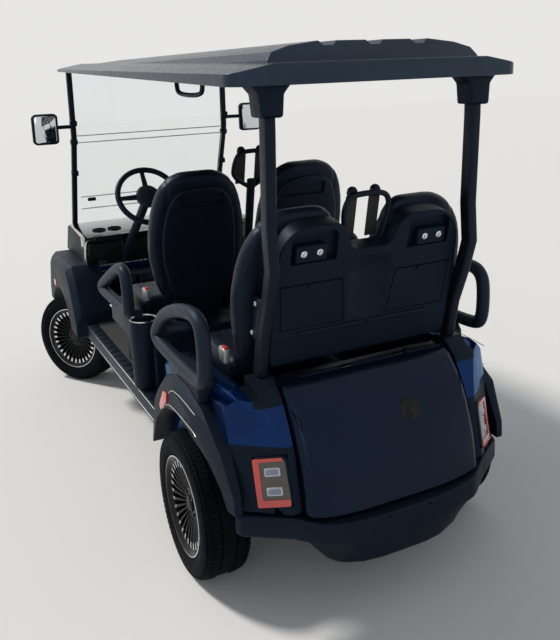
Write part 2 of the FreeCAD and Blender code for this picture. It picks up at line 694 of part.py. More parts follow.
# Windscreen: two flat panes that meet at the folding line.
glass = d("glass_thick")
inside = fx - fw
lower_pane = prism("lower_pane", "YZ_Plane", [
    (d("cowl_post_y") - 6, d("cowl_post_z") - 26), (d("cowl_post_y") - 6 + glass, d("cowl_post_z") - 26),
    (d("hinge_y") - 4 + glass, d("hinge_z") - 34), (d("hinge_y") - 4 - 10, d("hinge_z") - 34)],
    -inside, inside * 2)
upper_pane = prism("upper_pane", "YZ_Plane", [
    (d("hinge_y") - 2, d("hinge_z") - 33), (d("hinge_y") - 2 + glass, d("hinge_z") - 33),
    (d("hinge_y") + 4 + glass, front_top - 24), (d("hinge_y") + 4, front_top - 24)], -inside, inside * 2)

# Rear body.
# Quarters: side panels with a roomy wheel arch and a lamp pocket at the back.
qi, qo = quarter_in, d("quarter_outer")
WHEEL_ROOM = arch(rear_y, d("wheel_radius") + d("arch_room"), (186, 160, 135, 110, 90, 70, 45, 20, -6))
REAR_EDGE = [(1490, 660), (1536, 560), (1572, 380), (1576, 352)]


def corner(name, points, start, length, back=0):
    """A prism in the frame of the swept rear corner, which leans forward as it rises."""
    body = prism(name, "XY_Plane", points, start, length)
    return place(body, 0, d("corner_y") + back, d("corner_z"), (1, 0, 0), d("corner_tilt"))


corner_cut = corner("corner_cut", [(414, 8), (680, -197), (680, 240), (414, 240)], -300, 640)
lamp = corner("tail_lamp", [(430, 6), (534, -74), (508, -107), (404, -27)], -190, 186)
quarter = new_body("quarter")
pad(quarter, outline(quarter, "YZ_Plane", [
    (board_rear, d("floor_top") - 90), (board_rear, 692), (760, 708), (1200, 744), (1340, 760),
    (1440, 742)] + REAR_EDGE + [
    (1250, 352), (900, d("floor_top") - 90)], qi), qo - qi)
soften(quarter, lambda e: abs(e.BoundBox.XMin - qo.value) < 0.1 and e.BoundBox.XLength < 0.1
       and e.BoundBox.ZMin > 600, 40, "Chamfer")
pocket(quarter, outline(quarter, "YZ_Plane", WHEEL_ROOM, qi + d("arch_wall"), "WheelArch"), 200)
# Shelf: the strip between the quarter and the trunk that carries the rear post.
shelf_in = d("lid_half") + d("side_gap")
shelf = prism("shelf", "YZ_Plane", [
    (1342, d("kick_top") + 4), (1342, d("post_base_z")), (1372, d("post_base_z")),
    (1440, 742)] + REAR_EDGE + [
    (1556, 352), (1484, 440), (1484, d("kick_top") + 4)], shelf_in, qi - shelf_in)
foot_block = block("post_foot", (shelf_in, qi), (1306, 1372), (740, d("post_base_z")))
quarter_shell = cut("quarter_swept", fused("quarter_shell", [quarter, shelf, foot_block]), corner_cut)
quarter_body = cut("rear_quarter_body", quarter_shell, lamp)
both_sides(quarter_body, "rear_quarters")
both_sides(lamp, "tail_lamps")

# Flares: broad moulded arches that stand out over the rear wheels and draw in at the back.
FLARE_INSIDE = arch(rear_y, d("wheel_radius") + d("flare_room"), (164, 141, 118, 92, 72, 50, 34, 23))
FLARE_OUTSIDE = [
    (1484, 352), (1480, 420), (1402, 572), (1240, 672), (1080, 712), (960, 712), (820, 664), (716, 560),
    (672, 430), (672, 306),
]
rear_flare = prism("rear_flare", "YZ_Plane", FLARE_INSIDE + FLARE_OUTSIDE, qo - 4, d("flare_outer") - qo + 4)
soften(rear_flare, lambda e: e.BoundBox.XLength < 0.1 and abs(e.BoundBox.XMin - d("flare_outer").value) < 0.1
       and math.hypot(e.CenterOfMass.y - d("rear_axle_y").value, e.CenterOfMass.z - hub_z.value) > 410
       and e.CenterOfMass.z > 420, d("flare_slope"), "Chamfer")
draw_in = prism("flare_draw_in", "XY_Plane", [(678, 1190), (740, 1190), (740, 1560), (600, 1560)], 200, 700)
flare_body = cut("flare_swept", cut("flare_drawn_in", rear_flare, draw_in), quarter_body)
both_sides(flare_body, "rear_fenders")

# What rests on the quarters is trimmed to them.
rear_side = fused("rear_side_stop", [quarter_body, flare_body])
cushion("rear_cushions", d("floor_rear") - 60, d("rear_back_y") - 2, quarter_in + 26, quarter_body)
rear_arm = cut("armrest_rear_seated", arms["armrests_rear"], rear_side)
arm_pairs = [arms["armrests_front"], mirrored(arms["armrests_front"], "armrest_front_right"), rear_arm,
             mirrored(rear_arm, "armrest_rear_right")]
armrests = doc.addObject("Part::Compound", "armrests")
armrests.Links = arm_pairs
doc.recompute()
keep(armrests)

# Trunk cover: a one-piece shell with side cheeks, hinged along its top front edge.
LID_SIDE = [
    # along, up
    (1366, 772), (1396, 784), (1440, 762), (1508, 680), (1548, 596), (1582, 480),
    (d("lid_rear"), d("lid_bottom")),
]
lid = new_body("trunk_cover")
lw = d("lid_wall")
pad(lid, outline(lid, "YZ_Plane", LID_SIDE + [(1530, d("lid_bottom")), (1490, 560), (1400, 700), (1366, 730)],
    -d("lid_half")), d("lid_half") * 2)
pocket(lid, outline(lid, "YZ_Plane", [
    (1350, 758), (1394, 771), (1433, 752), (1498, 674), (1537, 592), (1571, 478), (1590, 340), (1500, 340),
    (1470, 560), (1390, 690), (1350, 720)], -d("lid_half") + lw, "Inside"), d("lid_half") * 2 - lw * 2)
ears = []
for i, x in enumerate((-288, -212, 212, 288)):
    ear = fused(f"lid_ear_{i}", [
        block(f"ear_strap_{i}", (x - 7, x + 7), (d("lid_hinge_y"), 1392),
              (d("lid_top") - 10, d("lid_top") + 8)),
        rod(f"ear_eye_{i}", 11, x - 7, d("lid_hinge_y"), d("lid_top"), 14, (0, 1, 0))])
    ears.append(ear)
lid_latch = block("latch", (-134, -74), (1528, 1562), (572, 648))
lid_closed = fused("lid_with_ears", [lid, lid_latch] + ears)
pin_holes = [rod(f"pin_hole_{i}", 5.5, x - 60, d("lid_hinge_y"), d("lid_top"), 120, (0, 1, 0))
             for i, x in enumerate((-250, 250))]
keep(cut("trunk_lid", lid_closed, fused("pin_holes", pin_holes)))

# Tub: an open box on the frame's raised end.
tub_front, tub_rear = d("rear_base_rear"), d("lid_rear") - 110
tub = block("tub_outer", (-360, 360), (tub_front, tub_rear), (kick_top, base_top - 34))
tub_room = block("tub_room", (-350, 350), (tub_front + 10, tub_rear - 10), (kick_top + 10, base_top + 30))
keep(cut("trunk_tub", tub, tub_room))

# Rear bumper: wraps the corners, with a deep valance in the middle.
bf, br, bt, bb = d("bumper_front"), d("bumper_rear"), d("bumper_top"), d("bumper_bottom")
BUMPER_PLAN = [
    # across, along: the left half, from the flat middle round the corner and back inside
    (130, br), (330, br - 14), (438, br - 62), (590, br - 166), (604, br - 208),
    (566, br - 212), (550, br - 184), (404, bf),
]
ring = new_body("bumper_ring")
pad(ring, outline(ring, "XY_Plane", BUMPER_PLAN + [(-x, y) for x, y in reversed(BUMPER_PLAN)], bb), bt - bb)
for i, x in enumerate((-89, 89)):
    pocket(ring, disc(ring, "XZ_Plane", x, 300, 3.5, -br - 5, f"PlateHole{i}"), 90)
low = d("valance_low")
valance = prism("valance", "XZ_Plane", [
    (-352, bb + 6), (352, bb + 6), (305, low), (-305, low)], -(br - 26), 44)
keep(fused("rear_bumper", [ring, valance]))

# Front body.
# Cowl: the nose between the wheel arches, hollow behind, with a sloping top.
cowl_side = [
    (-1120, 420), (-1120, d("cowl_top")), (-1460, d("cowl_top") + 26), (-1530, d("cowl_top") + 4),
    (d("nose_front") + 24, 700), (d("nose_front"), 480), (d("nose_front") + 10, rail_top),
    (-1400, rail_top), (-1400, 420),
]
ch, dh = d("cowl_half"), d("dash_half")
cowl = new_body("cowl")
pad(cowl, outline(cowl, "YZ_Plane", cowl_side, -ch), ch * 2)
pocket(cowl, outline(cowl, "YZ_Plane", [
    (-1100, 372), (-1100, 876), (-1450, 900), (-1516, 878), (d("nose_front") + 48, 690),
    (d("nose_front") + 24, 480),
    (d("nose_front") + 24, 372)], -ch + 24, "Inside"), ch * 2 - 48)
well_in = d("kingpin_x") - 215
wheel_wells = [rod(f"well_{i}", d("wheel_radius") + d("well_room"), x, front_axle_y, hub_z, 480, (0, 1, 0))
               for i, x in enumerate((well_in, -well_in - 480))]
# Head lamps sit in the nose on both sides of the cowl.
lamp_seat = prism("head_lamp_body", "YZ_Plane", [
    (d("nose_front") - 12, 520), (d("nose_front"), 640), (d("nose_front") + 40, 640),
    (d("nose_front") + 30, 520)], 290, 160)
head_lamps = both_sides(lamp_seat, "head_lamps")

scuttle = prism("scuttle", "YZ_Plane", [
    (-1120, 735), (-1120, d("cowl_top")), (-1460, d("cowl_top") + 26), (-1530, d("cowl_top") + 4),
    (-1620, 735)], ch, dh - ch)
cowl_open = cut("cowl_wells_cut", cowl, fused("front_wells", wheel_wells))
cowl_shell = fused("cowl_shell", [cowl_open, scuttle, mirrored(scuttle, "scuttle_right")])
cowl_solid = cut("cowl_solid", cowl_shell, head_lamps)
keep(cowl_solid, "front_cowl")
panes = doc.addObject("Part::Compound", "windscreen")
panes.Links = [cut("lower_pane_seated", lower_pane, cowl_solid), upper_pane]
doc.recompute()
keep(panes)
both_sides(cut("front_post_seated", front_post, fused("post_stops", [cowl_solid, roof])), "front_posts")

# Front wings: side panels over the front wheels with a wide moulded arch.
wing = prism("front_wing", "YZ_Plane", [
    (-845, 322), (-850, 470), (-960, 650), (-1060, 735), (-1560, 735), (-1640, 680), (-1690, 560),
    (-1690, 378), (-1600, 378), (-1400, 322)], ch, d("fender_outer") - ch)
soften(wing, lambda e: e.BoundBox.XLength < 0.1 and e.BoundBox.XMin > 600 and e.BoundBox.ZMin > 465,
       36, "Chamfer")
WING_ARCHES = [
    # name, room round the tyre, where it starts, how far it goes
    ("InnerArch", d("steer_room"), ch - 5, 140), ("OuterArch", d("wing_room"), ch + 85, 300),
]
for name, room, start, reach in WING_ARCHES:
    hole = disc(wing, "YZ_Plane", front_axle_y, hub_z, d("wheel_radius") + room, start, name)
    pocket(wing, hole, reach)
wings = both_sides(wing, "front_fenders")

# Front bumper: a moulded bar below the nose.
front_bar = new_body("front_bumper")
bar_y = d("front_bar_y")
pad(front_bar, outline(front_bar, "XY_Plane", [
    (-600, bar_y + 30), (-540, bar_y), (540, bar_y), (600, bar_y + 30), (600, bar_y + 54), (300, bar_y + 54),
    (300, d("rail_front")), (-300, d("rail_front")), (-300, bar_y + 54), (-600, bar_y + 54)],
    rail_top - 114), 114)
keep(front_bar)

# Dash: a wide moulding across the cart with glove boxes, behind the windscreen.
dash_side = [
    (-1120, d("dash_bottom")), (-1060, d("dash_bottom")), (-1070, 700), (-1010, 880), (-985, 918),
    (-1060, d("dash_top")), (-1440, 935), (-1450, 902), (-1120, 902),
]
dash_moulding = prism("dash_moulding", "YZ_Plane", dash_side, -dh, dh * 2)
dash = cut("dash_on_cowl", dash_moulding, fused("cowl_and_wings", [cowl_solid, wings]))

# Steering column and wheel share one leaning axis.
sx, sy, sz, tilt = d("wheel_x"), d("wheel_y"), d("wheel_z"), d("steering_tilt")
rake = math.radians(tilt.value)
down_y = Size("cos(Dims.steering_tilt * 1 deg)", math.cos(rake))
down_z = Size("sin(Dims.steering_tilt * 1 deg)", math.sin(rake))
column = rod("steering_column", 26, sx, sy - down_y * 34, sz - down_z * 34, 800, (1, 0, 0), tilt + 90)
keep(cut("dash", dash, column))
keep(column)

wheel = new_body("steering_wheel")
revolve(wheel, disc(wheel, "XZ_Plane", d("steering_radius"), 0, d("steering_tube")), "V_Axis")
pad(wheel, disc(wheel, "XY_Plane", 0, 0, 52, -34, "Hub"), 44)
cross = [(-160, -14), (160, -14), (160, 16), (-160, 16)]
pad(wheel, outline(wheel, "XY_Plane", cross, -10, "CrossSpoke"), 14)
pad(wheel, outline(wheel, "XY_Plane", [(-16, -160), (16, -160), (16, 0), (-16, 0)], -10, "LowerSpoke"), 14)
keep(place(wheel, sx, sy, sz, (-1, 0, 0), 90 - tilt))

# Pedals hang in front of the toe board.
accelerator = prism("accelerator", "YZ_Plane", [
    (-1050, 516), (-1028, 500), (-970, 600), (-1000, 640), (-1085, 612)], 262, 46)
brake = prism("brake", "YZ_Plane", [
    (-1050, 516), (-1010, 520), (-950, 600), (-980, 640), (-1085, 612)], 150, 84)
toe_plain = prism("pedal_clearance", "YZ_Plane", [
    (-1000, 380), (-1000, 400), (-1096, 640), (-1200, 640), (-1200, 380)], -300, 700)
pedal_pair = doc.addObject("Part::Compound", "pedals")
pedal_pair.Links = [cut("accelerator_pedal", accelerator, toe_plain), cut("brake_pedal", brake, toe_plain)]
doc.recompute()
keep(pedal_pair)

# Belt hoops: the front one on a stem between the backs, the rear one on the shell's dip.
stem, loop = d("belt_stem"), d("belt_loop")
HOOPS = {
    # name: (along, rear face, outer edge, inner edge), each edge as (across, up the back)
    "front_belt": (d("front_back_y"), 58, [
        (stem, -90), (stem, 654), (loop, 728), (loop, 796), (loop - 34, 832)],
        [(stem, 716), (loop - 28, 750), (loop - 28, 784), (loop - 46, 806)]),
    "rear_belt": (d("rear_back_y"), 108, [
        (loop - 26, 545), (loop, 640), (loop, 726), (loop - 34, 766)],
        [(loop - 44, 571), (loop - 26, 644), (loop - 26, 716), (loop - 46, 742)]),
}


def belt_hoop(name):
    """One hoop in the frame of the leaning backs."""
    y, face, outer, inner = HOOPS[name]
    body = new_body(name)
    pad(body, outline(body, "XZ_Plane", outer + [(-x, z) for x, z in reversed(outer)], -face), 24)
    pocket(body, outline(body, "XZ_Plane", inner + [(-x, z) for x, z in reversed(inner)], -face, "Loop"), 24)
    place(body, 0, y + 14, cushion_top - 60, (-1, 0, 0), d("seat_lean"))
    below = block(name + "_below", (-200, 200), (y - 200, y + 300), (base_top - 300, base_top))
    return cut(name + "_hoop", body, below)


towers = doc.addObject("Part::Compound", "belt_towers")
towers.Links = [belt_hoop(name) for name in HOOPS]
doc.recompute()
keep(towers)

# Side mirrors: a head on a short arm clamped to each front post.
my, mz = d("mirror_y"), d("mirror_z")
head = prism("mirror_head", "XZ_Plane", [
    (622, mz - 84), (640, mz - 96), (764, mz - 96), (782, mz - 78), (782, mz + 78), (764, mz + 96),
    (640, mz + 96), (622, mz + 80)], -my - 18, 36)
arm = block("mirror_arm", (fx + fw, 640), (my - 44, my - 14), (mz - 16, mz + 16))
both_sides(fused("side_mirror", [head, arm]), "side_mirrors")

# Checks and files.
doc.recompute()
for item in doc.Objects:
    if {"Invalid", "Error"} & set(item.State):
        raise RuntimeError(f"{item.Label}: {item.State}")
names = [item.Label for item in PARTS]
if len(set(names)) != len(names):
    raise RuntimeError("two sub-parts share a name")
os.makedirs("parts", exist_ok=True)
for item in PARTS:
    shape = item.Shape
    if shape.isNull() or not shape.isValid() or not shape.Solids:
        raise RuntimeError(f"{item.Label}: bad shape")
    shape.exportStep(f"parts/{item.Label}.step")
    box = shape.BoundBox
    print(f"{item.Label:20s} {len(shape.Solids)} solids  X {box.XMin:7.0f} {box.XMax:7.0f}  "
          f"Y {box.YMin:7.0f} {box.YMax:7.0f}  Z {box.ZMin:6.0f} {box.ZMax:6.0f}")
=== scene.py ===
import math

import bmesh
import bpy
from mathutils import Matrix, Vector


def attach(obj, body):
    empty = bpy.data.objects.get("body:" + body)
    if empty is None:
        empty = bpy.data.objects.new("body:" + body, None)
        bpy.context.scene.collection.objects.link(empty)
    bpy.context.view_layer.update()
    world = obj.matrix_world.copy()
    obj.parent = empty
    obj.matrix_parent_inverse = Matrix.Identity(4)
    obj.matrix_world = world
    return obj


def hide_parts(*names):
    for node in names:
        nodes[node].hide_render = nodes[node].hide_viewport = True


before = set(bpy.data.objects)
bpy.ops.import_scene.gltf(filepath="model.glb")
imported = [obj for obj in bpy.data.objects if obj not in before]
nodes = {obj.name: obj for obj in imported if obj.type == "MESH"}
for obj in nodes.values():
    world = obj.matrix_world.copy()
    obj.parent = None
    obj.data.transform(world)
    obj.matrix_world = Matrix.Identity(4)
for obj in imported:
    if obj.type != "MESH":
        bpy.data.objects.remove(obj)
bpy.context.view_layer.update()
scene = bpy.context.scene
scene.view_settings.view_transform = "Standard"

MM = 0.001
# Most sizes are millimetres from the cart's body datum, 45 mm behind the middle of the
# cart and 100 mm above the floor. FLOOR stands for pieces measured from the floor itself.
FLOOR = Matrix.Identity(4)
BODY = Matrix.Translation((0, 0.045, 0.100))
SEAT_LEAN = Matrix.Rotation(math.radians(-13), 4, "X")
FRONT_BACK = BODY @ Matrix.Translation((0, 0.164, 0.740)) @ SEAT_LEAN
REAR_BACK = BODY @ Matrix.Translation((0, 1.164, 0.740)) @ SEAT_LEAN
HANDWHEEL = BODY @ Matrix.Translation((0.300, -0.420, 1.235)) @ Matrix.Rotation(math.radians(-53), 4, "X")
CORNER = BODY @ Matrix.Translation((0, 1.532, 0.570)) @ Matrix.Rotation(math.radians(13), 4, "X")


def hub_at(across, along, turn):
    """Where a wheel's middle stands (metres) and how far it is turned about the upright (degrees)."""
    return Matrix.Translation((across, along, 0.297)) @ Matrix.Rotation(math.radians(turn), 4, "Z")


# The front wheels stand steered 35 degrees to the left; a right wheel is a left one turned round.
WHEELS = {
    "rear_left": hub_at(0.594, 1.113, 0),
    "rear_right": hub_at(-0.594, 1.113, 180),
    "front_left": hub_at(0.582245, -1.247718, 35),
    "front_right": hub_at(-0.582245, -1.322282, 215),
}


# Finishes.
def shader_node(tree, kind, settings=None, **inputs):
    """Add one shader node, set its options and fill or join its sockets."""
    item = tree.nodes.new("ShaderNode" + kind)
    for key, value in (settings or {}).items():
        setattr(item, key, value)
    for key, value in inputs.items():
        socket = item.inputs[key.replace("_", " ")]
        if isinstance(value, bpy.types.NodeSocket):
            tree.links.new(value, socket)
        else:
            socket.default_value = value
    return item


def finish(name, colour, rough, metal=0.0, grain=700.0, depth=0.12, mottle=0.15, wear=0.06,
           cells=False, stretch=(1, 1, 1), **sockets):
    """A surface finish: mottled colour, uneven gloss and a fine relief, all in the solid."""
    material = bpy.data.materials.new(name)
    material.use_nodes = True
    tree = material.node_tree
    surface = tree.nodes["Principled BSDF"]
    spot = shader_node(tree, "TexCoord").outputs["Object"]
    broad = shader_node(tree, "TexNoise", Vector=spot, Scale=7.0, Detail=5.0).outputs["Fac"]
    tint = shader_node(tree, "ValToRGB", Fac=broad)
    tint.color_ramp.elements[0].position, tint.color_ramp.elements[1].position = 0.3, 0.7
    tint.color_ramp.elements[0].color = [c * (1 - mottle) for c in colour] + [1]
    tint.color_ramp.elements[1].color = [min(1, c * (1 + mottle)) for c in colour] + [1]
    tree.links.new(tint.outputs["Color"], surface.inputs["Base Color"])
    gloss = shader_node(tree, "TexNoise", Vector=spot, Scale=38.0, Detail=3.0).outputs["Fac"]
    spread = shader_node(tree, "MapRange", Value=gloss, From_Min=0.3, From_Max=0.7,
                         To_Min=max(0.02, rough - wear), To_Max=min(1, rough + wear))
    tree.links.new(spread.outputs["Result"], surface.inputs["Roughness"])
    scaled = shader_node(tree, "Mapping", Vector=spot, Scale=stretch).outputs["Vector"]
    if cells:
        relief = shader_node(tree, "TexVoronoi", Vector=scaled, Scale=grain).outputs["Distance"]
    else:
        relief = shader_node(tree, "TexNoise", Vector=scaled, Scale=grain, Detail=2.0).outputs["Fac"]
    bump = shader_node(tree, "Bump", Height=relief, Strength=depth, Distance=0.001)
    tree.links.new(bump.outputs["Normal"], surface.inputs["Normal"])
    surface.inputs["Metallic"].default_value = metal
    for key, value in sockets.items():
        surface.inputs[key.replace("_", " ")].default_value = value
    return material


# Black plastics and rubber carry a painted sky reflection: a blue tint on their specular stands for a blue
# sky the room doesn't have, and their dark colours lean blue, partly for the same sky light.
PAINTED_SKY_SHEEN = (0.40, 0.60, 0.95, 1)
BLACK_MOULDING = finish("black_moulding", (0.0035, 0.0065, 0.012), 0.5, grain=900, depth=0.2,
                        Specular_IOR_Level=0.2, Specular_Tint=PAINTED_SKY_SHEEN)
# A lighter copy of the black moulding is painted light: it stands for black plastic in sunlight and its
# glints.
SUNLIT_BLACK_MOULDING = finish("sunlit_black_moulding", (0.011, 0.015, 0.022), 0.5, grain=900, depth=0.22,
                       Specular_IOR_Level=0.25, Specular_Tint=PAINTED_SKY_SHEEN)
ROOF_MOULDING = finish("roof_moulding", (0.020, 0.027, 0.038), 0.3, grain=500, depth=0.04,
                       Specular_IOR_Level=0.4, Specular_Tint=PAINTED_SKY_SHEEN)
LEATHER = finish("black_leather", (0.0045, 0.007, 0.012), 0.42, grain=420, depth=0.3, cells=True,
                 Specular_IOR_Level=0.26, Specular_Tint=PAINTED_SKY_SHEEN)
TYRE_RUBBER = finish("tyre_rubber", (0.004, 0.0045, 0.006), 0.7, grain=800, depth=0.3, mottle=0.3,
                     Specular_IOR_Level=0.06, Specular_Tint=PAINTED_SKY_SHEEN)
ALLOY_BLACK = finish("alloy_black", (0.003, 0.0035, 0.005), 0.28, grain=300, depth=0.04,
                     Specular_IOR_Level=0.2)
ALLOY_BRIGHT = finish("alloy_bright", (0.70, 0.71, 0.72), 0.26, metal=1.0, grain=900, depth=0.04,
                      mottle=0.05)
BLUE_PAINT = finish("blue_paint", (0.001, 0.018, 0.090), 0.24, metal=0.7, grain=900, depth=0.006,
                    cells=True, Coat_Weight=0.18, Coat_Roughness=0.04, Specular_IOR_Level=0.2,
                    Specular_Tint=(0.3, 0.6, 1, 1))
SATIN_LID = finish("satin_lid", (0.002, 0.0045, 0.013), 0.24, grain=350, depth=0.03,
                   Specular_IOR_Level=0.28, Specular_Tint=PAINTED_SKY_SHEEN)
FRAME_COAT = finish("frame_coat", (0.004, 0.005, 0.008), 0.42, grain=160, depth=0.1,
                    Specular_IOR_Level=0.26, Specular_Tint=PAINTED_SKY_SHEEN)
AXLE_COAT = finish("axle_coat", (0.016, 0.016, 0.017), 0.6, grain=120, depth=0.3, mottle=0.35)
GLOSS_PANEL = finish("gloss_panel", (0.005, 0.006, 0.007), 0.1, grain=200, depth=0.01, wear=0.03,
                     Coat_Weight=0.8, Coat_Roughness=0.03)
BRIGHT_TRIM = finish("bright_trim", (0.62, 0.64, 0.66), 0.26, metal=1.0, grain=900, depth=0.03,
                     mottle=0.05)
FLOOR_MAT = finish("floor_mat", (0.016, 0.017, 0.018), 0.75, grain=90, depth=0.5, stretch=(1, 0.02, 1))
WEBBING = finish("belt_webbing", (0.012, 0.012, 0.013), 0.7, grain=260, depth=0.6, stretch=(1, 1, 0.4))
RED_LENS = finish("red_lens", (0.52, 0.035, 0.030), 0.16, grain=240, depth=0.12, cells=True,
                  Coat_Weight=0.8, Coat_Roughness=0.04)
SMOKED_LENS = finish("smoked_lens", (0.036, 0.026, 0.018), 0.14, grain=200, depth=0.1, cells=True,
                     Coat_Weight=0.8, Coat_Roughness=0.04)
WHITE_LENS = finish("white_lens", (0.42, 0.45, 0.52), 0.22, grain=300, depth=0.3, cells=True,
                    Coat_Weight=0.8, Coat_Roughness=0.04)
GREY_LENS = finish("grey_lens", (0.16, 0.17, 0.24), 0.22, grain=300, depth=0.3, cells=True,
                   Coat_Weight=0.8, Coat_Roughness=0.04)
GLASS_EDGE = finish("glass_edge", (0.50, 0.60, 0.62), 0.3, grain=300, depth=0.1)
AMBER_LENS = finish("amber_lens", (0.60, 0.17, 0.02), 0.2, grain=300, depth=0.2, cells=True,
                    Coat_Weight=0.8)
RED_BUTTON = finish("red_button", (0.50, 0.025, 0.020), 0.4, grain=500, depth=0.1)
PALE_BUCKLE = finish("pale_buckle", (0.45, 0.46, 0.47), 0.35, metal=0.6, grain=500, depth=0.08)
MIRROR_FACE = finish("mirror_face", (0.62, 0.65, 0.68), 0.05, metal=1.0, grain=60, depth=0.005,
                     mottle=0.03, wear=0.02)
CELL_CASE = finish("cell_case", (0.05, 0.055, 0.06), 0.55, grain=300, depth=0.15)
CLEAR_SCREEN = finish("clear_screen", (0.93, 0.96, 0.97), 0.03, grain=30, depth=0.004, mottle=0.01,
                      wear=0.01, Transmission_Weight=1.0, IOR=1.18)


# Shaping.
def everything(bm):
    """All points, edges and faces, for the calls that take them together."""
    return bm.verts[:] + bm.edges[:] + bm.faces[:]


def oval_edges(bm, width, segments=3, angle=28):
    """Round every edge that turns by more than the angle."""
    edges = [e for e in bm.edges if len(e.link_faces) == 2 and e.calc_face_angle(0) > math.radians(angle)]
    bmesh.ops.bevel(bm, geom=edges, offset=width * MM, offset_type="OFFSET", segments=segments,
                    profile=0.5, affect="EDGES", clamp_overlap=True, material=-1)
    return bm


def solid_of(name, width, segments=4):
    """Start from the part's own solid, its flat faces made whole, and round its edges."""
    bm = bmesh.new()
    bm.from_mesh(nodes[name].data)
    bmesh.ops.remove_doubles(bm, verts=bm.verts, dist=1e-5)
    bmesh.ops.dissolve_limit(bm, angle_limit=math.radians(1), verts=bm.verts, edges=bm.edges)
    bmesh.ops.recalc_face_normals(bm, faces=bm.faces)
    return oval_edges(bm, width, segments)


def block(low, high, radius=0, segments=3):
    """A box between two corners with rounded edges."""
    bm = bmesh.new()
    bmesh.ops.create_cube(bm, size=1)
    low, high = Vector(low) * MM, Vector(high) * MM
    bmesh.ops.scale(bm, vec=high - low, verts=bm.verts)
    bmesh.ops.translate(bm, vec=(low + high) / 2, verts=bm.verts)
    return oval_edges(bm, radius, segments) if radius else bm


def smooth(points, closed=True, rounds=2):
    """Cut the corners of an outline again and again until it runs round without a kink."""
    for _ in range(rounds):
        pairs = zip(points, points[1:] + (points[:1] if closed else []))
        cut = [(a[0] + (b[0] - a[0]) * share, a[1] + (b[1] - a[1]) * share)
               for a, b in pairs for share in (0.25, 0.75)]
        points = cut if closed else [points[0], *cut[1:-1], points[-1]]
    return points


def plate(axis, points, start, end, radius=0, segments=3, corner=0):
    """An outline in the plane across the axis, thickened along it, its corners and edges rounded."""
    bm = bmesh.new()
    place = "xyz".index(axis)
    spots = [(*point[:place], start, *point[place:]) for point in points]
    face = bm.faces.new([bm.verts.new(Vector(spot) * MM) for spot in spots])
    if corner:
        bmesh.ops.bevel(bm, geom=face.verts[:], offset=corner * MM, offset_type="OFFSET", segments=4,
                        profile=0.5, affect="VERTICES", clamp_overlap=True, material=-1)
    grown = bmesh.ops.extrude_face_region(bm, geom=bm.faces[:])["geom"]
    move = Vector([(end - start) * MM if axis == letter else 0 for letter in "xyz"])
    bmesh.ops.translate(bm, vec=move, verts=[v for v in grown if isinstance(v, bmesh.types.BMVert)])
    bmesh.ops.recalc_face_normals(bm, faces=bm.faces)
    return oval_edges(bm, radius, segments) if radius else bm


def turned(profile, steps=48, ring=False, centre=(0, 0, 0), axis=(1, 0, 0)):
    """A round piece from (along the axis, radius) pairs spun about the axis."""
    bm = bmesh.new()
    centre, axis = Vector(centre) * MM, Vector(axis).normalized()
    side = axis.orthogonal().normalized()
    line = [bm.verts.new(centre + axis * a * MM + side * r * MM) for a, r in profile]
    edges = [bm.edges.new(pair) for pair in zip(line, line[1:] + line[:1])][:len(line) if ring else -1]
    bmesh.ops.spin(bm, geom=line + edges, cent=centre, axis=axis, angle=math.tau, steps=steps, use_merge=True)
    bmesh.ops.remove_doubles(bm, verts=bm.verts, dist=1e-6)
    bmesh.ops.recalc_face_normals(bm, faces=bm.faces)
    return bm


def as_evaluated(item):
    """An object's mesh with its modifiers applied."""
    return bpy.data.meshes.new_from_object(item.evaluated_get(bpy.context.evaluated_depsgraph_get()))


def tube(points, radius, closed=False, sides=6):
    """A soft-cornered tube along a line of points."""
    curve = bpy.data.curves.new("line", "CURVE")
    curve.dimensions = "3D"
    curve.resolution_u, curve.bevel_resolution = 8, sides
    curve.bevel_depth = radius * MM
    curve.use_fill_caps = True
    run = curve.splines.new("NURBS")
    run.points.add(len(points) - 1)
    for point, spot in zip(run.points, points):
        point.co = (*(Vector(spot) * MM), 1)
    run.use_cyclic_u, run.use_endpoint_u, run.order_u = closed, not closed, 3
    holder = bpy.data.objects.new("line", curve)
    scene.collection.objects.link(holder)
    mesh = as_evaluated(holder)
    bpy.data.objects.remove(holder)
    bm = bmesh.new()
    bm.from_mesh(mesh)
    bpy.data.meshes.remove(mesh)
    bmesh.ops.remove_doubles(bm, verts=bm.verts, dist=1e-6)
    bmesh.ops.recalc_face_normals(bm, faces=bm.faces)
    return bm


def gathered(*shapes):
    """Several shapes as one piece."""
    bm = bmesh.new()
    for shape in shapes:
        mesh = bpy.data.meshes.new("shape")
        shape.to_mesh(mesh)
        bm.from_mesh(mesh)
        bpy.data.meshes.remove(mesh)
        shape.free()
    return bm


def both_sides(bm):
    """Add the mirror image on the other side of the cart."""
    copy = bmesh.ops.duplicate(bm, geom=everything(bm))["geom"]
    bmesh.ops.scale(bm, vec=(-1, 1, 1), verts=[v for v in copy if isinstance(v, bmesh.types.BMVert)])
    bmesh.ops.reverse_faces(bm, faces=[f for f in copy if isinstance(f, bmesh.types.BMFace)])
    return bm


def moved(bm, matrix):
    """Put a shape in place."""
    bmesh.ops.transform(bm, matrix=matrix, verts=bm.verts)
    return bm


def painted(bm, index, test):
    """Give the faces that pass the test another of the piece's finishes."""
    for face in bm.faces:
        if test(face):
            face.material_index = index
    return bm


def sliced(bm, *planes):
    """Cut all faces along planes, each given by a point (mm) and a direction."""
    for spot, facing in planes:
        bmesh.ops.bisect_plane(bm, geom=everything(bm), dist=1e-6, plane_co=Vector(spot) * MM,
                               plane_no=facing)
    return bm


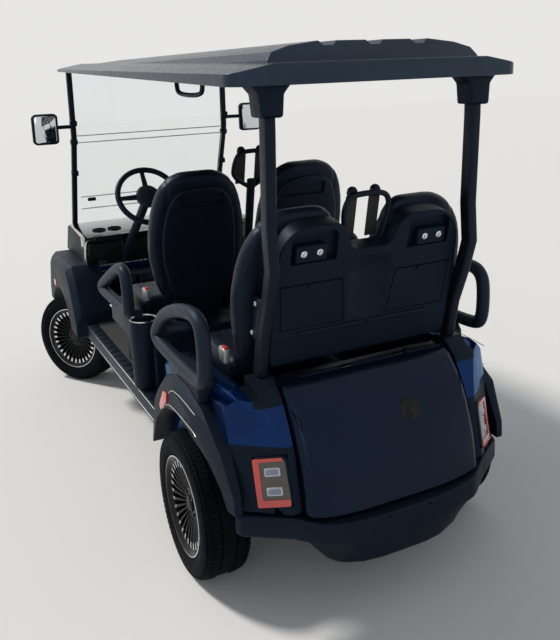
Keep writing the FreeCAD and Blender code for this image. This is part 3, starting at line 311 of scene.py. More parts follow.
def window(bm, corners, outwards, near, *steps):
    """Cut a convex outline into the faces that look outwards within a distance (mm) of it, and
    then step what is inside it in or out: each step is an inset and a depth."""
    corners, outwards = [Vector(corner) * MM for corner in corners], Vector(outwards).normalized()
    middle = sum(corners, Vector()) / len(corners)

    def faces_near():
        return [f for f in bm.faces if f.normal.dot(outwards) > 0.7
                and abs((f.calc_center_median() - middle).dot(outwards)) < near * MM]

    sides = []
    for start, end in zip(corners, corners[1:] + corners[:1]):
        away = (end - start).cross(outwards).normalized()
        if (middle - start).dot(away) > 0:
            away = -away
        faces = faces_near()
        around = {item for face in faces for item in (*face.verts, *face.edges)}
        bmesh.ops.bisect_plane(bm, geom=[*around, *faces], dist=1e-6, plane_co=start, plane_no=away)
        sides.append((start, away))
    inside = [f for f in faces_near() if all((f.calc_center_median() - a).dot(n) < 0 for a, n in sides)]
    for thickness, depth in steps:
        bmesh.ops.inset_region(bm, faces=inside, thickness=thickness * MM, depth=depth * MM)
    return bm


def piece(name, bm, looks, place=BODY, body="chassis", stands_for=None, flat=32):
    """Finish a shape as a named piece that moves with one of the cart's bodies. Edges that turn
    by less than the flat angle are shaded smooth."""
    moved(bm, place)
    for face in bm.faces:
        face.smooth = True
    for edge in bm.edges:
        edge.smooth = edge.calc_face_angle(0) < math.radians(flat)
    mesh = bpy.data.meshes.new(name)
    bm.to_mesh(mesh)
    bm.free()
    item = bpy.data.objects.new(name, mesh)
    scene.collection.objects.link(item)
    for look in looks if isinstance(looks, list) else [looks]:
        mesh.materials.append(look)
    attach(item, body)
    if stands_for:
        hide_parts(stands_for)
    return item


def plain_finish(name, look):
    """Keep a solid as it is and give it a finish."""
    mesh = nodes[name].data
    mesh.materials.clear()
    mesh.materials.append(look)


# Wheels, built lying along their own axle (+X is outwards) and then put in place.
TYRE_SECTION = [
    # across, radius: round the outside from the outer bead to the inner one, then back
    (76, 192), (86, 203), (93, 216), (97, 236), (97, 250), (94, 264), (91, 272), (85, 281), (74, 288),
    (72, 284), (66, 285), (64, 290), (34, 292), (32, 285), (26, 285), (24, 292), (-24, 292),
    (-26, 285), (-32, 285), (-34, 292), (-64, 290), (-66, 285), (-72, 284), (-74, 288), (-85, 281),
    (-91, 272), (-94, 264), (-97, 250), (-97, 236), (-93, 216), (-86, 203), (-76, 192),
    (-70, 200), (-74, 262), (74, 262), (70, 200),
]
# The tread's blocks lie in bands across the tyre, beyond a distance from the axle.
TREAD_BANDS = [(74.5, 92), (34.5, 63.5), (0, 23.5)]
TREAD_BLOCKS, TREAD_FROM = 76, 276
# Each spoke ends at its tip's distance from the axle and is bright from another one outwards.
SPOKES, SPOKE_TIP, BRIGHT_FROM = 30, 186, 150
NUTS = 4


def tyre():
    """A low road tyre with its tread cut into blocks."""
    bm = turned(TYRE_SECTION, steps=TREAD_BLOCKS, ring=True)

    def on_tread(face):
        middle = face.calc_center_median()
        across, radius = abs(middle.x) / MM, math.hypot(middle.y, middle.z) / MM
        return radius > TREAD_FROM and any(low < across < high for low, high in TREAD_BANDS)

    blocks = [f for f in bm.faces if on_tread(f)]
    bmesh.ops.inset_individual(bm, faces=blocks, thickness=1.9 * MM, depth=0)
    bmesh.ops.inset_individual(bm, faces=blocks, thickness=0.7 * MM, depth=4.5 * MM)
    return bm


def spoke():
    """One slim spoke that dips towards the hub: black, with a bright cut face at its tip."""
    bm = plate("x", [(-3.4, 48), (3.4, 48), (5.4, 150), (8.5, SPOKE_TIP), (-8.5, SPOKE_TIP), (-5.4, 150)],
               50, 72)
    sliced(bm, *(((0, 0, radius), (0, 0, 1)) for radius in (92, 116, 154)))
    for vert in bm.verts:
        vert.co.x += (4 - max(0, SPOKE_TIP - vert.co.z / MM) ** 1.5 * 0.019) * MM
    oval_edges(bm, 1.6, 2)
    return painted(bm, 1, lambda f: f.normal.x > 0.8 and f.calc_center_median().z > BRIGHT_FROM * MM)


def rim():
    """A stepped barrel with a bright lip round a turbine of spokes, a hub, its cap and nuts."""
    barrel = turned([
        (-90, 200), (-86, 200), (-84, 190), (-74, 178), (72, 178), (82, 188), (86, 199), (90, 202),
        (91, 198), (88, 190), (80, 182), (70, 172), (20, 168), (-76, 170), (-90, 194)], 96, ring=True)
    painted(barrel, 1, lambda f: f.calc_center_median().x > 90 * MM)
    hub = turned([(2, 0), (2, 50), (30, 60), (34, 74), (46, 70), (51, 56), (52, 42), (48, 38), (48, 0)])
    dish = turned([(20, 60), (20, 169), (26, 169), (30, 60)], 64, ring=True)
    cap = turned([(46, 34), (57, 33), (61, 26), (63, 0)], 40)
    web = spoke()
    bmesh.ops.spin(web, geom=everything(web), cent=(0, 0, 0), axis=(1, 0, 0),
                   angle=math.tau * (SPOKES - 1) / SPOKES, steps=SPOKES - 1, use_duplicate=True)
    nuts = []
    for step in range(NUTS):
        turn = math.tau * (step + 0.5) / NUTS
        nuts.append(turned([(47, 0), (47, 8), (56, 8), (58, 6), (58, 0)], 6,
                           centre=(0, 50 * math.cos(turn), 50 * math.sin(turn))))
    return gathered(barrel, hub, dish, cap, web, *nuts)


for corner, place in WHEELS.items():
    piece(f"{corner}_tyre", tyre(), TYRE_RUBBER, place, f"wheel_{corner}", f"tyre_{corner}")
    piece(f"{corner}_rim", rim(), [ALLOY_BLACK, ALLOY_BRIGHT], place, f"wheel_{corner}", f"rim_{corner}",
          flat=40)


# Padding: the grid of a pad (mm), and how hard and how long its filling presses.
VOXEL, FILL_PRESSURE, FILL_FRAMES = 12, 4.0, 20


def stuffed(name, bm, cap):
    """Swell a closed form as its filling would, no point further than the cap (mm)."""
    mesh = bpy.data.meshes.new(name)
    bm.to_mesh(mesh)
    bm.free()
    item = bpy.data.objects.new(name, mesh)
    scene.collection.objects.link(item)
    remesh = item.modifiers.new("even", "REMESH")
    remesh.mode, remesh.voxel_size = "VOXEL", VOXEL * MM
    fresh = as_evaluated(item)
    item.modifiers.clear()
    item.data = fresh
    cloth = item.modifiers.new("filling", "CLOTH")
    cloth.settings.use_pressure = True
    cloth.settings.uniform_pressure_force = FILL_PRESSURE
    cloth.settings.effector_weights.gravity = 0
    cloth.settings.quality = 4
    cloth.point_cache.frame_start, cloth.point_cache.frame_end = 1, FILL_FRAMES
    for step in range(1, FILL_FRAMES + 1):
        scene.frame_set(step)
    swollen = as_evaluated(item)
    item.modifiers.clear()
    scene.frame_set(1)
    for vert, new in zip(fresh.vertices, swollen.vertices):
        shift = new.co - vert.co
        if shift.length > cap * MM:
            shift *= cap * MM / shift.length
        vert.co += shift
    bpy.data.meshes.remove(swollen)
    bm = bmesh.new()
    bm.from_mesh(fresh)
    bpy.data.objects.remove(item)
    bpy.data.meshes.remove(fresh)
    for _ in range(4):
        bmesh.ops.smooth_vert(bm, verts=bm.verts, factor=0.5, use_axis_x=True, use_axis_y=True,
                              use_axis_z=True)
    return bm


def seamed(bm, lines, depth=4.0, width=5.0):
    """Press sewn channels into a pad: each line gives how far a point is from it, in mm."""
    for vert in bm.verts:
        pull = max(math.exp(-(line(vert.co / MM) / width) ** 2) for line in lines)
        if pull > 0.02:
            vert.co -= vert.normal * depth * pull * MM
    return bm


def padded_pair(name, bm, place, stands_for):
    """A left pad and its mirror image on the right, each subdivided once."""
    twin = bm.copy()
    bmesh.ops.scale(twin, vec=(-1, 1, 1), verts=twin.verts)
    bmesh.ops.reverse_faces(twin, faces=twin.faces)
    for side, shape in (("left", bm), ("right", twin)):
        item = piece(f"{name}_{side}", shape, LEATHER, place, stands_for=stands_for,
                     flat=180)
        finer = item.modifiers.new("finer", "SUBSURF")
        finer.levels = finer.render_levels = 1


def near_x(*places):
    """Channels that run along the pad at these distances across."""
    return [lambda co, x=x: co.x - x for x in places]


def near_z(height, depth):
    """A channel across the front of a pad that is no deeper than this."""
    return lambda co: co.z - height if co.y < depth else 99


def seat_pad(front, rear, outer):
    """A seat cushion between two distances along the cart."""
    side = [(front + 5, 716), (front + 5, 762), (front + 42, 794), (rear - 6, 794), (rear - 6, 694),
            (front + 24, 694)]
    return plate("x", side, 21, outer - 6, 16, 4)


def seat_cushions():
    """A cushion each side of the middle in both rows."""
    for row, form, channels in (("front", seat_pad(-240, 148, 535), near_x(130, 420)),
                                ("rear", seat_pad(724, 1148, 478), near_x(120, 376))):
        pad = seamed(stuffed(f"{row}_pad", form, 10), channels)
        padded_pair(f"{row}_cushion", pad, BODY, f"{row}_cushions")


FRONT_BACK_OUTLINE = [
    # across, up the leaning back
    (64, 66), (40, 186), (30, 340), (40, 526), (92, 690), (182, 752), (288, 752), (394, 752), (482, 690),
    (528, 528), (532, 340), (498, 184), (440, 66), (250, 64),
]
FRONT_PANEL_REAR = 108
REAR_BACK_OUTLINE = [
    (38, 68), (36, 280), (36, 500), (66, 536), (112, 664), (160, 716), (240, 716), (350, 716), (430, 664),
    (498, 556), (524, 390), (506, 194), (460, 68), (250, 64),
]
FRONT_PANEL = [
    (118, 96), (98, 220), (92, 350), (104, 520), (136, 634), (206, 684), (370, 684), (434, 634), (468, 520),
    (474, 344), (440, 208), (400, 96),
]
SLOT = [(162, 586), (386, 586), (386, 650), (162, 650)]


def seat_backs():
    """Padded backs in both rows; the front ones carry a panel with a slot."""
    pad = stuffed("front_back_pad", plate("y", smooth(FRONT_BACK_OUTLINE), 7, 89, 26, 4), 6)
    padded_pair("front_back", seamed(pad, near_x(112, 448) + [near_z(250, 60)]), FRONT_BACK,
                "front_seat_backs")
    pad = stuffed("rear_back_pad", plate("y", smooth(REAR_BACK_OUTLINE), 7, 75, 22, 4), 9)
    padded_pair("rear_back", seamed(pad, near_x(112, 424) + [near_z(240, 50)]), REAR_BACK,
                "rear_seat_backs")
    panel = plate("y", smooth(FRONT_PANEL), 84, FRONT_PANEL_REAR, 11, 5)
    window(panel, [(x, FRONT_PANEL_REAR, z) for x, z in SLOT], (0, 1, 0), 1, (3, -12))
    piece("front_back_panels", both_sides(panel), LEATHER, FRONT_BACK)
    feet = gathered(block((152, 12, -60), (388, 72, 80), 10), block((150, 20, -60), (200, 84, 100), 8))
    piece("front_back_feet", both_sides(feet), BLACK_MOULDING, FRONT_BACK)


seat_cushions()
seat_backs()


# The deep moulded shell behind the rear backs, with its pocket lids, grip recesses and bolts.
SHELL_HALF = [
    # across, up the leaning back
    (0, 566), (64, 566), (88, 580), (112, 646), (142, 676), (190, 684), (300, 684), (360, 650), (398, 574),
    (403, 440), (403, 270), (403, 128), (360, 124), (200, 124),
]
SHELL_REAR = 166
GRIP = [(154, 542), (343, 542), (343, 640), (318, 662), (172, 662), (154, 648)]
POCKET = [(88, 266), (368, 266), (380, 462), (113, 462)]
BETWEEN = [(-84, 268), (84, 268), (84, 532), (-84, 532)]


def rear_shell():
    """The left half is shaped first, without the face where the halves meet, and then mirrored."""
    def on_rear(bm, outline, *steps):
        return window(bm, [(x, SHELL_REAR, z) for x, z in outline], (0, 1, 0), 1, *steps)

    half = plate("y", smooth(SHELL_HALF, closed=False) + [(0, 124)], 74, SHELL_REAR)
    meeting = [f for f in half.faces if abs(f.normal.x) > 0.99 and f.calc_center_median().x < 1 * MM]
    bmesh.ops.delete(half, geom=meeting, context="FACES")
    oval_edges(half, 24, 6, 40)
    on_rear(half, POCKET, (7, -4), (1, -4), (3, 0), (1, 4))
    on_rear(half, GRIP, (4, -26))
    bm = both_sides(half)
    bmesh.ops.remove_doubles(bm, verts=bm.verts, dist=1e-6)
    on_rear(bm, BETWEEN, (12, -7))
    piece("rear_shell", bm, BLACK_MOULDING, REAR_BACK, stands_for="rear_seat_shell",
          flat=38)
    notch = plate("y", [(214, 440), (266, 440), (256, 456), (224, 456)], 158, 167, 2, 2)
    tab = block((198, 136, 546), (326, SHELL_REAR + 5, 612), 9, 4)
    bar = block((8, 150, 240), (290, SHELL_REAR + 9, 262), 9, 4)
    piece("shell_fittings", both_sides(gathered(notch, tab, bar)), BLACK_MOULDING, REAR_BACK)
    bolts = [turned([(0, 0), (0, 13), (2, 13), (4, 10), (4, 7), (8, 6), (9, 0)], 24,
                    centre=(x, SHELL_REAR + 4, 582), axis=(0, 1, 0)) for x in (229, 294)]
    piece("shell_bolts", both_sides(gathered(*bolts)), BRIGHT_TRIM, REAR_BACK)


rear_shell()


# Armrests: thick foam loops on moulded feet.
ARM_LOOPS = {
    "front": [(-246, 800), (-196, 832), (0, 922), (152, 988), (244, 998), (280, 958), (288, 880), (288, 802),
              (262, 788), (0, 788), (-200, 784)],
    "rear": [(728, 824), (800, 890), (872, 950), (1056, 1018), (1246, 1052), (1314, 1022), (1326, 940),
             (1316, 812), (1260, 790), (1080, 788), (900, 792), (780, 798)],
}


def armrests():
    """Closed loops beside the cushions, each on a block that rises from the body."""
    shapes = [tube([(640, y, z) for y, z in loop], 28, closed=True, sides=8)
              for loop in ARM_LOOPS.values()]
    for start, end in ((-120, 240), (860, 1200)):
        foot = [(start, 646), (start, 740), (start + 40, 778), (end - 30, 778), (end, 740), (end, 646)]
        shapes.append(plate("x", foot, 554, 630, 9))
    # The loops take the sunlit copy of the black moulding: painted sunlight on black plastic.
    piece("arm_loops", both_sides(gathered(*shapes)), SUNLIT_BLACK_MOULDING, stands_for="armrests")


armrests()


# Frame, posts and brackets: the solids with their edges rounded off.
SOFTENED = [
    # solid, finish, slot, rounding
    ("rear_posts", FRAME_COAT, "frame_black", 9),
    ("front_posts", FRAME_COAT, "frame_black", 9),
    ("roof_brackets", BLACK_MOULDING, "black_plastic", 9),
    # The running boards take the sunlit copy of the black moulding: painted sunlight on black plastic.
    ("running_boards", SUNLIT_BLACK_MOULDING, "black_plastic", 4),
    ("front_seat_base", BLACK_MOULDING, "black_plastic", 12),
    ("rear_seat_base", BLACK_MOULDING, "black_plastic", 6),
    ("front_bumper", BLACK_MOULDING, "black_plastic", 12),
    ("dash", GLOSS_PANEL, "gloss_black", 8),
    ("roof", ROOF_MOULDING, "black_plastic", 8),
    ("pedals", FRAME_COAT, "frame_black", 4),
    ("head_lamps", WHITE_LENS, "lamp_clear", 6),
    ("front_fenders", BLACK_MOULDING, "black_plastic", 9),
    ("rear_fenders", BLACK_MOULDING, "black_plastic", 12),
]
for name, look, slot, width in SOFTENED:
    piece(name + "_shown", solid_of(name, width), look, FLOOR, stands_for=name)


# The cowl and the quarters are painted blue, with some of their faces in black plastic.
# The quarters are black behind QUARTER_BACK, below LAMP_TOP and round the posts' feet; round the lamps this
# black is partly a black surround and partly painted shade on the blue.
QUARTER_BACK, LAMP_TOP, FOOT_LOW, FOOT_HALF = 1345, 690, 820, 505


def front_cowl():
    """Blue in front, with black cheeks."""
    cowl = painted(solid_of("front_cowl", 10), 1, lambda f: abs(f.normal.x) > 0.5)
    piece("front_cowl_shown", cowl, [BLUE_PAINT, BLACK_MOULDING], FLOOR, stands_for="front_cowl")


def rear_quarters():
    """Blue above the lamps, black round them and at the posts' feet; the black round the lamps is partly
    painted shade.
    """
    def black_and_painted_shade(face):
        middle = face.calc_center_median() / MM
        at_foot = middle.z > FOOT_LOW and abs(middle.x) < FOOT_HALF
        return middle.y > QUARTER_BACK and (middle.z < LAMP_TOP or at_foot)

    quarters = sliced(solid_of("rear_quarters", 12), ((0, 0, LAMP_TOP), (0, 0, 1)),
                      ((0, 0, FOOT_LOW), (0, 0, 1)), ((0, QUARTER_BACK, 0), (0, 1, 0)),
                      ((FOOT_HALF, 0, 0), (1, 0, 0)), ((-FOOT_HALF, 0, 0), (1, 0, 0)))
    piece("rear_quarters_shown", painted(quarters, 1, black_and_painted_shade), [BLUE_PAINT, BLACK_MOULDING], FLOOR,
          stands_for="rear_quarters")


front_cowl()
rear_quarters()

# Solids that stay just as they are and get a finish.
KEPT = [
    ("chassis_frame", FRAME_COAT), ("front_axle", AXLE_COAT), ("rear_axle", AXLE_COAT),
    ("knuckle_left", AXLE_COAT), ("knuckle_right", AXLE_COAT), ("battery_pack", CELL_CASE),
    ("trunk_tub", BLACK_MOULDING), ("floor_pan", FLOOR_MAT), ("steering_column", BLACK_MOULDING),
    ("windscreen", CLEAR_SCREEN),
]
for name, look in KEPT:
    plain_finish(name, look)


# Trunk cover: one smooth skin with large rounded corners.
LID_PROFILE = [
    # along, up: the outside from the hinge down to the lower edge
    (1366, 771), (1380, 781), (1397, 783), (1418, 776), (1440, 762), (1474, 724), (1508, 680), (1530, 636),
    (1548, 596), (1567, 538), (1582, 480), (1592, 420), (1599, 359),
]
LID_INSIDE = [(1532, 359), (1494, 556), (1404, 698), (1368, 730)]
LID_HALF, LID_ROUNDING, LID_SKIN = 385, 66, 4
VENT = [(374, 1470, 706), (338, 1556, 592), (352, 1522, 668)]
LATCH_PLACE = Matrix.Translation((-0.104, 1.541, 0.611)) @ Matrix.Rotation(math.radians(-66), 4, "X")
SLATS = [(low, high, y, z) for low, high in ((-358, -188), (-132, 65), (120, 290))
         for y, z in ((1372, 776), (1391, 779))]
# The tail is bowed across the cart: by TAIL_BOW in the middle and not at all BOW_HALF to either
# side. The bow fades out upwards over BOW_FADE, to nothing at BOW_TOP, and it only moves what
# lies behind BOW_FROM.
TAIL_BOW = (0, 40, -30)
BOW_HALF, BOW_TOP, BOW_FADE, BOW_FROM = 430, 700, 340, 1480


def bowed(bm):
    """Let the middle of the tail stand further back and hang lower than its corners."""
    sliced(bm, *(((x, 0, 0), (1, 0, 0)) for x in range(-360, 361, 60)))
    for vert in bm.verts:
        x, y, z = vert.co / MM
        share = max(0, 1 - (x / BOW_HALF) ** 4) * min(1, max(0, BOW_TOP - z) / BOW_FADE)
        if y > BOW_FROM:
            vert.co += Vector(TAIL_BOW) * share * MM
    return bm


def trunk_cover():
    """The skin with a vent in each rounding, the latch and the slats along the hinge."""
    bm = plate("x", LID_PROFILE + LID_INSIDE, -LID_HALF, LID_HALF)
    open_edge = {*LID_INSIDE, LID_PROFILE[0], LID_PROFILE[-1]}
    unseen = [f for f in bm.faces if abs(f.normal.x) < 0.5 and all(
        (round(v.co.y / MM), round(v.co.z / MM)) in open_edge for v in f.verts)]
    bmesh.ops.delete(bm, geom=unseen, context="FACES")
    oval_edges(bm, LID_ROUNDING, 9, math.degrees(1.2))
    for side in (1, -1):
        window(bm, [(x * side, y, z) for x, y, z in VENT], (0.78 * side, 0.42, 0.46), 40, (2, -6))
    bowed(bm)
    bmesh.ops.solidify(bm, geom=bm.faces[:], thickness=LID_SKIN * MM)
    piece("trunk_skin", bm, SATIN_LID, body="trunk_cover", stands_for="trunk_lid",
          flat=50)
    latch = gathered(plate("z", [(-48, 48), (48, 48), (36, -48), (-36, -48)], -2, 7, 4, 3, 9),
                     plate("z", [(-20, 30), (20, 30), (16, -22), (-16, -22)], 6, 9, 1, 2, 8),
                     turned([(0, 0), (0, 12), (11, 12), (13, 9), (13, 0)], 28, axis=(0, 0, 1)))
    piece("trunk_latch", moved(latch, LATCH_PLACE), ALLOY_BLACK, body="trunk_cover")
    slats = [block((low, y, z), (high, y + 7, z + 9), 3) for low, high, y, z in SLATS]
    piece("trunk_slats", gathered(*slats), BLACK_MOULDING, body="trunk_cover")


trunk_cover()


# Rear bumper: a bar round the corners over a deep rounded valance.
BAR_PLAN = [
    # across, along: from the middle round the corner and back inside
    (0, 1640), (130, 1640), (330, 1626), (438, 1578), (590, 1474), (606, 1440), (566, 1428), (550, 1456),
    (404, 1470), (0, 1470),
]
SKIRT_PLAN = [
    (0, 1638), (130, 1637), (240, 1628), (320, 1608), (368, 1584), (390, 1552), (394, 1520), (0, 1520),
]
# The valance's lower edge is narrower and stands further forward than its upper one.
SKIRT_NARROWER, SKIRT_FORWARD = 0.72, 26


def both_halves(plan):
    """A plan that starts and ends in the middle, closed by its mirror image."""
    return plan + [(-x, y) for x, y in reversed(plan[1:-1])]


def rear_bumper():
    """The bar, the valance below it and the two holes for a number plate."""
    bar = plate("z", both_halves(BAR_PLAN), 256, 342, 22, 5, 14)
    skirt = plate("z", both_halves(SKIRT_PLAN), 139, 276)
    for vert in skirt.verts:
        if vert.co.z < 200 * MM:
            vert.co.x *= SKIRT_NARROWER
            vert.co.y -= SKIRT_FORWARD * MM
    oval_edges(skirt, 34, 6)
    plate_holes = [turned([(0, 3.5), (-6, 3.5), (-6, 0)], 16, centre=(x, 1683, 300), axis=(0, 1, 0))
                   for x in (-89, 89)]
    piece("rear_bumper_bar", bowed(bar), BLACK_MOULDING, stands_for="rear_bumper")
    piece("rear_bumper_skirt", bowed(skirt), BLACK_MOULDING, stands_for="rear_bumper")
    piece("plate_holes_shown", gathered(*plate_holes), FRAME_COAT)


rear_bumper()


# Tail lamps, in the frame of their own outer face: across, up, outwards.
def tail_lamps():
    """A case with a red band, a smoked panel and two framed units."""
    across, outward = Vector((104, -80, 0)).normalized(), Vector((80, 104, 0)).normalized()
    turn = Matrix((across, (0, 0, 1), outward)).transposed().to_4x4()
    face = Matrix.Translation(Vector((482, -34, -97)) * MM) @ turn
    case = plate("z", [(-66, -94), (68, -94), (68, 94), (-66, 94)], -36, -1, 5, 3, 22)
    band_outline = [(64, -88), (64, 88), (-48, 88), (-50, 76), (40, 76), (42, -62), (-60, -62), (-60, -88)]
    band = plate("z", band_outline, -8, 4, 4, corner=18)
    panel = plate("z", [(-62, -84), (50, -84), (50, 84), (-56, 84)], -12, 1, 4, 3, 16)
    units = [block((-30, low + 4, -6), (20, low + 28, 7), 8, 4) for low in (22, -48)]
    frames = [block((-35, low, -6), (25, low + 32, 4), 11, 4) for low in (22, -48)]
    for name, shape, look in (
            ("case", case, BLACK_MOULDING), ("band", band, RED_LENS), ("panel", panel, SMOKED_LENS),
            ("frames", gathered(*frames), WHITE_LENS), ("units", gathered(*units), GREY_LENS)):
        shape = both_sides(moved(shape, CORNER @ face))
        piece(f"tail_lamp_{name}", shape, look, FLOOR, stands_for="tail_lamps")


tail_lamps()


# Painted highlights along the flares' edges, reflectors and steps along the sides.
FLARE_EDGE_HIGHLIGHTS = [
    # along, up
    [(986, 652), (1008, 676), (1090, 692), (1200, 690), (1290, 683)],
    [(934, 580), (958, 600), (1060, 606), (1200, 604), (1270, 602), (1290, 594)],
]
REFLECTOR = [(948, 636), (902, 632), (836, 548), (846, 528), (872, 540), (934, 592)]


def side_trim():
    """Bright lines that paint highlights along the flares' edges, reflectors, the step's bright edges and its
    treads.
    """
    # Thin bright tubes along the flares' edges are painted highlights, where the rounded edges catch the
    # light.
    lines = [tube([(679, y, z) for y, z in line], 1.8) for line in FLARE_EDGE_HIGHLIGHTS]
    piece("flare_edge_highlights", both_sides(gathered(*lines)), BRIGHT_TRIM)
    piece("side_reflectors", both_sides(plate("x", REFLECTOR, 668, 680, 3, 3, 6)), RED_LENS)
    edges = gathered(block((619, -840, 397), (627, 664, 402), 2), block((623, -840, 330), (628, 664, 336), 2))
    piece("step_edges", both_sides(edges), BRIGHT_TRIM)
    treads = [block((566, low, 399), (616, low + 60, 404), 2) for low in range(-820, 620, 80)]
    piece("step_treads", both_sides(gathered(*treads)), BLACK_MOULDING)
    piece("front_reflectors", both_sides(block((689, -1500, 520), (693, -1440, 560), 2)), AMBER_LENS)


side_trim()


# Windscreen: pale edges of its panes, catches, and clips on the posts.
def screen_trim():
    """The edges run right across; catches sit on the lower pane and clips on both posts."""
    edges = [tube([(-500, y, z), (500, y, z)], 3.5)
             for y, z in ((-1250, 1538), (-1250, 1494), (-1300, 1132), (-1306, 1052))]
    catches = [block((x - 26, -1262, 1108), (x + 26, -1244, 1130), 4) for x in (440, -440)]
    piece("screen_catches", gathered(*catches), BLACK_MOULDING)
    piece("screen_edges", gathered(*edges), GLASS_EDGE)
    clips = [block((498, y - 14, z - 18), (542, y + 22, z + 18), 6)
             for y, z in ((-1268, 1500), (-1330, 1290), (-1240, 1620))]
    piece("screen_clips", both_sides(gathered(*clips)), BLACK_MOULDING)


screen_trim()


# Mirrors.
def mirrors():
    """A rounded head on a short arm, and its glass."""
    head_outline = [(622, 1511), (640, 1499), (764, 1499), (782, 1517), (782, 1673), (764, 1691),
                    (640, 1691), (622, 1675)]
    glass_outline = [(638, 1520), (648, 1512), (756, 1512), (768, 1522), (768, 1668), (756, 1678),
                     (648, 1678), (638, 1668)]
    head = plate("y", head_outline, -1228, -1192, 13, 5)
    arm = tube([(530, -1238, 1600), (580, -1240, 1602), (640, -1226, 1600)], 12)
    piece("mirror_heads", both_sides(gathered(head, arm)), BLACK_MOULDING, stands_for="side_mirrors")
    glass = plate("y", glass_outline, -1196, -1189, 2, 2)
    piece("mirror_glass", both_sides(glass), MIRROR_FACE)


mirrors()


# Steering wheel, in its own leaning frame.
def handwheel():
    """A thick round rim, a domed hub and three arms."""
    turns = [math.tau * step / 14 for step in range(14)]
    ring = turned([(math.sin(turn) * 15, 171 + math.cos(turn) * 16) for turn in turns], 72, ring=True,
                  axis=(0, 0, 1))
    hub = turned([(-46, 0), (-46, 40), (-20, 66), (4, 68), (16, 58), (22, 36), (24, 0)], 40, axis=(0, 0, 1))
    arms = [plate("z", outline, -8, 3, 4) for outline in (
        [(40, -17), (165, -12), (165, 12), (40, 19)], [(-40, -17), (-165, -12), (-165, 12), (-40, 19)],
        [(-16, -40), (-12, -165), (12, -165), (16, -40)])]
    piece("wheel_rim", ring, BLACK_MOULDING, HANDWHEEL, "handwheel", "steering_wheel")
    # The hub and arms take the sunlit copy of the black moulding: painted glints on black plastic.
    piece("wheel_spokes", gathered(hub, *arms), SUNLIT_BLACK_MOULDING, HANDWHEEL, "handwheel")


handwheel()


# Dash fittings: bright frame round the glove panel, glove lids, cup rings and the blue strip.
def dash_fittings():
    """What shows of the dash from behind."""
    frame_line = tube([(150, -1000, 912), (380, -1000, 912), (536, -1002, 908), (554, -1012, 890),
                       (556, -1056, 740), (540, -1066, 712), (380, -1068, 708), (150, -1068, 708)], 9)
    piece("glove_frame", both_sides(frame_line), BRIGHT_TRIM)
    piece("dash_strip", block((-556, -1070, 676), (556, -1052, 700), 5), BLUE_PAINT)
    rings = [turned([(0, 44), (8, 44), (9, 40), (8, 37), (-3, 36), (-3, 0)], 32,
                    centre=(x, -1120, 932), axis=(0, 0, 1)) for x in (440, 340)]
    piece("cup_rings", both_sides(gathered(*rings)), BLACK_MOULDING)
    lids = [plate("x", [(-1058, 722), (-1006, 872), (-1001, 870), (-1053, 720)], low, high, 2)
            for low, high in ((340, 540), (130, 326))]
    piece("glove_lids", both_sides(gathered(*lids)), GLOSS_PANEL)


dash_fittings()


# Belts: hoops with their guides, straps that hang from them, and buckles by the cushions.
HOOPS = {
    # row: placement, heights of foot, shoulder and top, how far behind the front of the backs the
    # hoop, its guides and its straps are, and half the width at the foot
    "front": (FRONT_BACK, 640, 728, 818, 46, 20, 22, 12),
    "rear": (REAR_BACK, 556, 690, 752, 96, 62, 60, 76),
}
GUIDES = (-50, 50)


def belts():
    """Each row has one hoop with two guides; the front one stands on a stalk of its own."""
    shown = []
    for row, (place, foot, shoulder, top, back, guide, strap, spread) in HOOPS.items():
        arch = [(spread, back, foot), (96, back, shoulder - 40), (98, back, shoulder + 20),
                (76, back, top), (0, back, top + 6)]
        shapes = [tube(arch + [(-x, y, z) for x, y, z in reversed(arch[:-1])], 11)]
        if row == "front":
            shapes.append(block((-20, back - 12, -80), (20, back + 12, foot + 40), 8))
        profile = [(top - 20, 0), (top - 20, 17), (top - 6, 21), (top + 10, 19), (top + 19, 11),
                   (top + 22, 0)]
        shapes += [turned(profile, 28, centre=(x, guide, 0), axis=(0, 0, 1)) for x in GUIDES]
        shown.append(moved(gathered(*shapes), place))
        straps = [block((x - 25, strap, foot + 10), (x + 25, strap + 3, top - 14), 1, 1) for x in GUIDES]
        piece(f"{row}_belt_straps", gathered(*straps), WEBBING, place)
    piece("belt_hoops", gathered(*shown), FRAME_COAT, FLOOR, stands_for="belt_towers")
    buckles, buttons = [], []
    for x, y in ((512, 150), (492, 1140)):
        buckles.append(block((x - 13, y - 30, 800), (x + 13, y + 30, 862), 8))
        buttons.append(block((x - 9, y - 4, 858), (x + 9, y + 28, 868), 3))
    piece("buckles", both_sides(gathered(*buckles)), PALE_BUCKLE)
    piece("buckle_buttons", both_sides(gathered(*buttons)), RED_BUTTON)


belts()


# Small fittings.
def small_fittings():
    """The roof's handle, the bins under the front arms, and the rear backs' bolted brackets."""
    grip = tube([(300, 200, 1950), (300, 200, 1850), (300, 230, 1812), (300, 530, 1810), (300, 560, 1850),
                 (300, 560, 1950)], 11)
    piece("roof_grip", grip, BLACK_MOULDING)
    pod = turned([(0, 0), (0, 58), (16, 66), (330, 72), (344, 66), (346, 58), (300, 52), (300, 0)], 48,
                 centre=(572, 286, 404), axis=(0, 0, 1))
    piece("seat_pods", both_sides(pod), BLACK_MOULDING)
    ring = turned([(0, 62), (5, 68), (9, 64), (5, 58)], 48, ring=True, centre=(572, 286, 745),
                  axis=(0, 0, 1))
    piece("pod_rings", both_sides(ring), BRIGHT_TRIM)
    bracket = plate("x", [(1304, 950), (1352, 942), (1416, 1112), (1350, 1116)], 402, 449, 5, 3)
    piece("back_brackets", both_sides(bracket), FRAME_COAT)
    bolts = [turned([(0, 0), (0, 11), (4, 11), (7, 8), (8, 0)], 20, centre=(448, y, z), axis=(1, 0, 0))
             for y, z in ((1366, 1090), (1324, 970))]
    piece("back_bolts", both_sides(gathered(*bolts)), BRIGHT_TRIM)


small_fittings()


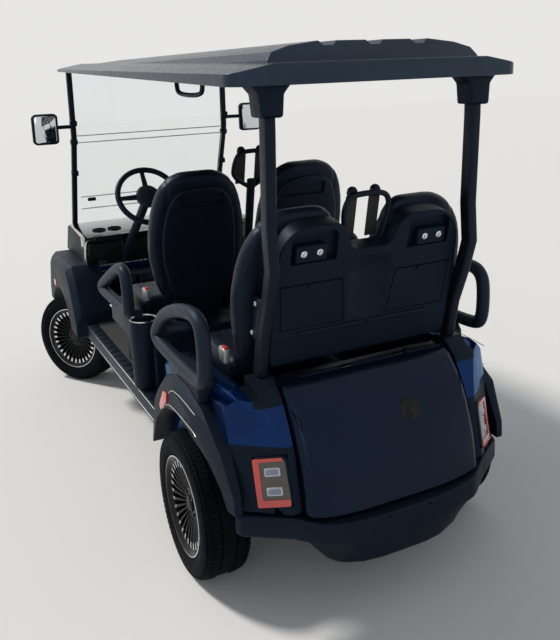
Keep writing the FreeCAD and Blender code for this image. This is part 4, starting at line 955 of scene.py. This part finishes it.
# Room, light and camera.
def pale_floor():
    """A wide floor in one plain pale colour."""
    bm = bmesh.new()
    bmesh.ops.create_grid(bm, x_segments=2, y_segments=2, size=30)
    mesh = bpy.data.meshes.new("floor")
    bm.to_mesh(mesh)
    bm.free()
    floor = bpy.data.objects.new("floor", mesh)
    scene.collection.objects.link(floor)
    material = bpy.data.materials.new("pale_floor")
    material.use_nodes = True
    surface = material.node_tree.nodes["Principled BSDF"]
    surface.inputs["Base Color"].default_value = (0.78, 0.77, 0.75, 1)
    surface.inputs["Roughness"].default_value = 0.8
    mesh.materials.append(material)


def soft_sun(name, towards, power, spread, colour):
    """A broad far lamp that shines along a direction."""
    light = bpy.data.lights.new(name, "SUN")
    light.energy, light.angle, light.color = power, math.radians(spread), colour
    lamp = bpy.data.objects.new(name, light)
    scene.collection.objects.link(lamp)
    lamp.rotation_euler = Vector(towards).to_track_quat("-Z", "Y").to_euler()


def room():
    """Soft light from all round. What is seen of the room itself, also in glass and metal, is pale."""
    world = bpy.data.worlds.new("studio")
    scene.world = world
    world.use_nodes = True
    tree = world.node_tree
    light = tree.nodes["Background"]
    light.inputs["Color"].default_value = (0.86, 0.92, 1.0, 1)
    light.inputs["Strength"].default_value = 0.36
    seen = tree.nodes.new("ShaderNodeBackground")
    seen.inputs["Color"].default_value = (0.80, 0.795, 0.785, 1)
    rays = tree.nodes.new("ShaderNodeLightPath")
    mix = tree.nodes.new("ShaderNodeMixShader")
    shown = rays.outputs["Is Camera Ray"]
    for kind in ("Is Glossy Ray", "Is Transmission Ray"):
        either = shader_node(tree, "Math", {"operation": "MAXIMUM"})
        tree.links.new(shown, either.inputs[0])
        tree.links.new(rays.outputs[kind], either.inputs[1])
        shown = either.outputs[0]
    tree.links.new(shown, mix.inputs["Fac"])
    tree.links.new(light.outputs["Background"], mix.inputs[1])
    tree.links.new(seen.outputs["Background"], mix.inputs[2])
    tree.links.new(mix.outputs["Shader"], tree.nodes["World Output"].inputs["Surface"])


VIEW_TURN, VIEW_RISE, VIEW_ROLL = 154.175, 11.751, -2.141
VIEW_FROM = (1.5236, 3.8591, 2.0165)


def camera():
    """The photograph's own view: behind the cart, to its left and a little above."""
    turn, rise, roll = (math.radians(angle) for angle in (VIEW_TURN, VIEW_RISE, VIEW_ROLL))
    back = Vector((math.sin(turn) * math.cos(rise), -math.cos(turn) * math.cos(rise), math.sin(rise)))
    level = (-back).cross(Vector((0, 0, 1))).normalized()
    upright = level.cross(-back)
    across = math.cos(roll) * level + math.sin(roll) * upright
    up = -math.sin(roll) * level + math.cos(roll) * upright
    lens = bpy.data.cameras.new("camera")
    lens.sensor_width, lens.sensor_fit, lens.lens = 36, "AUTO", 43.42
    lens.shift_y = -0.142
    lens.clip_end = 200
    view = bpy.data.objects.new("camera", lens)
    scene.collection.objects.link(view)
    view.matrix_world = Matrix.Translation(VIEW_FROM) @ Matrix((across, up, back)).transposed().to_4x4()
    scene.camera = view


pale_floor()
room()
soft_sun("key", (-0.50, 0.60, -0.85), 2.6, 9, (1.0, 0.97, 0.92))
soft_sun("fill", (-0.35, -0.80, -0.45), 0.30, 40, (0.90, 0.95, 1.0))
camera()
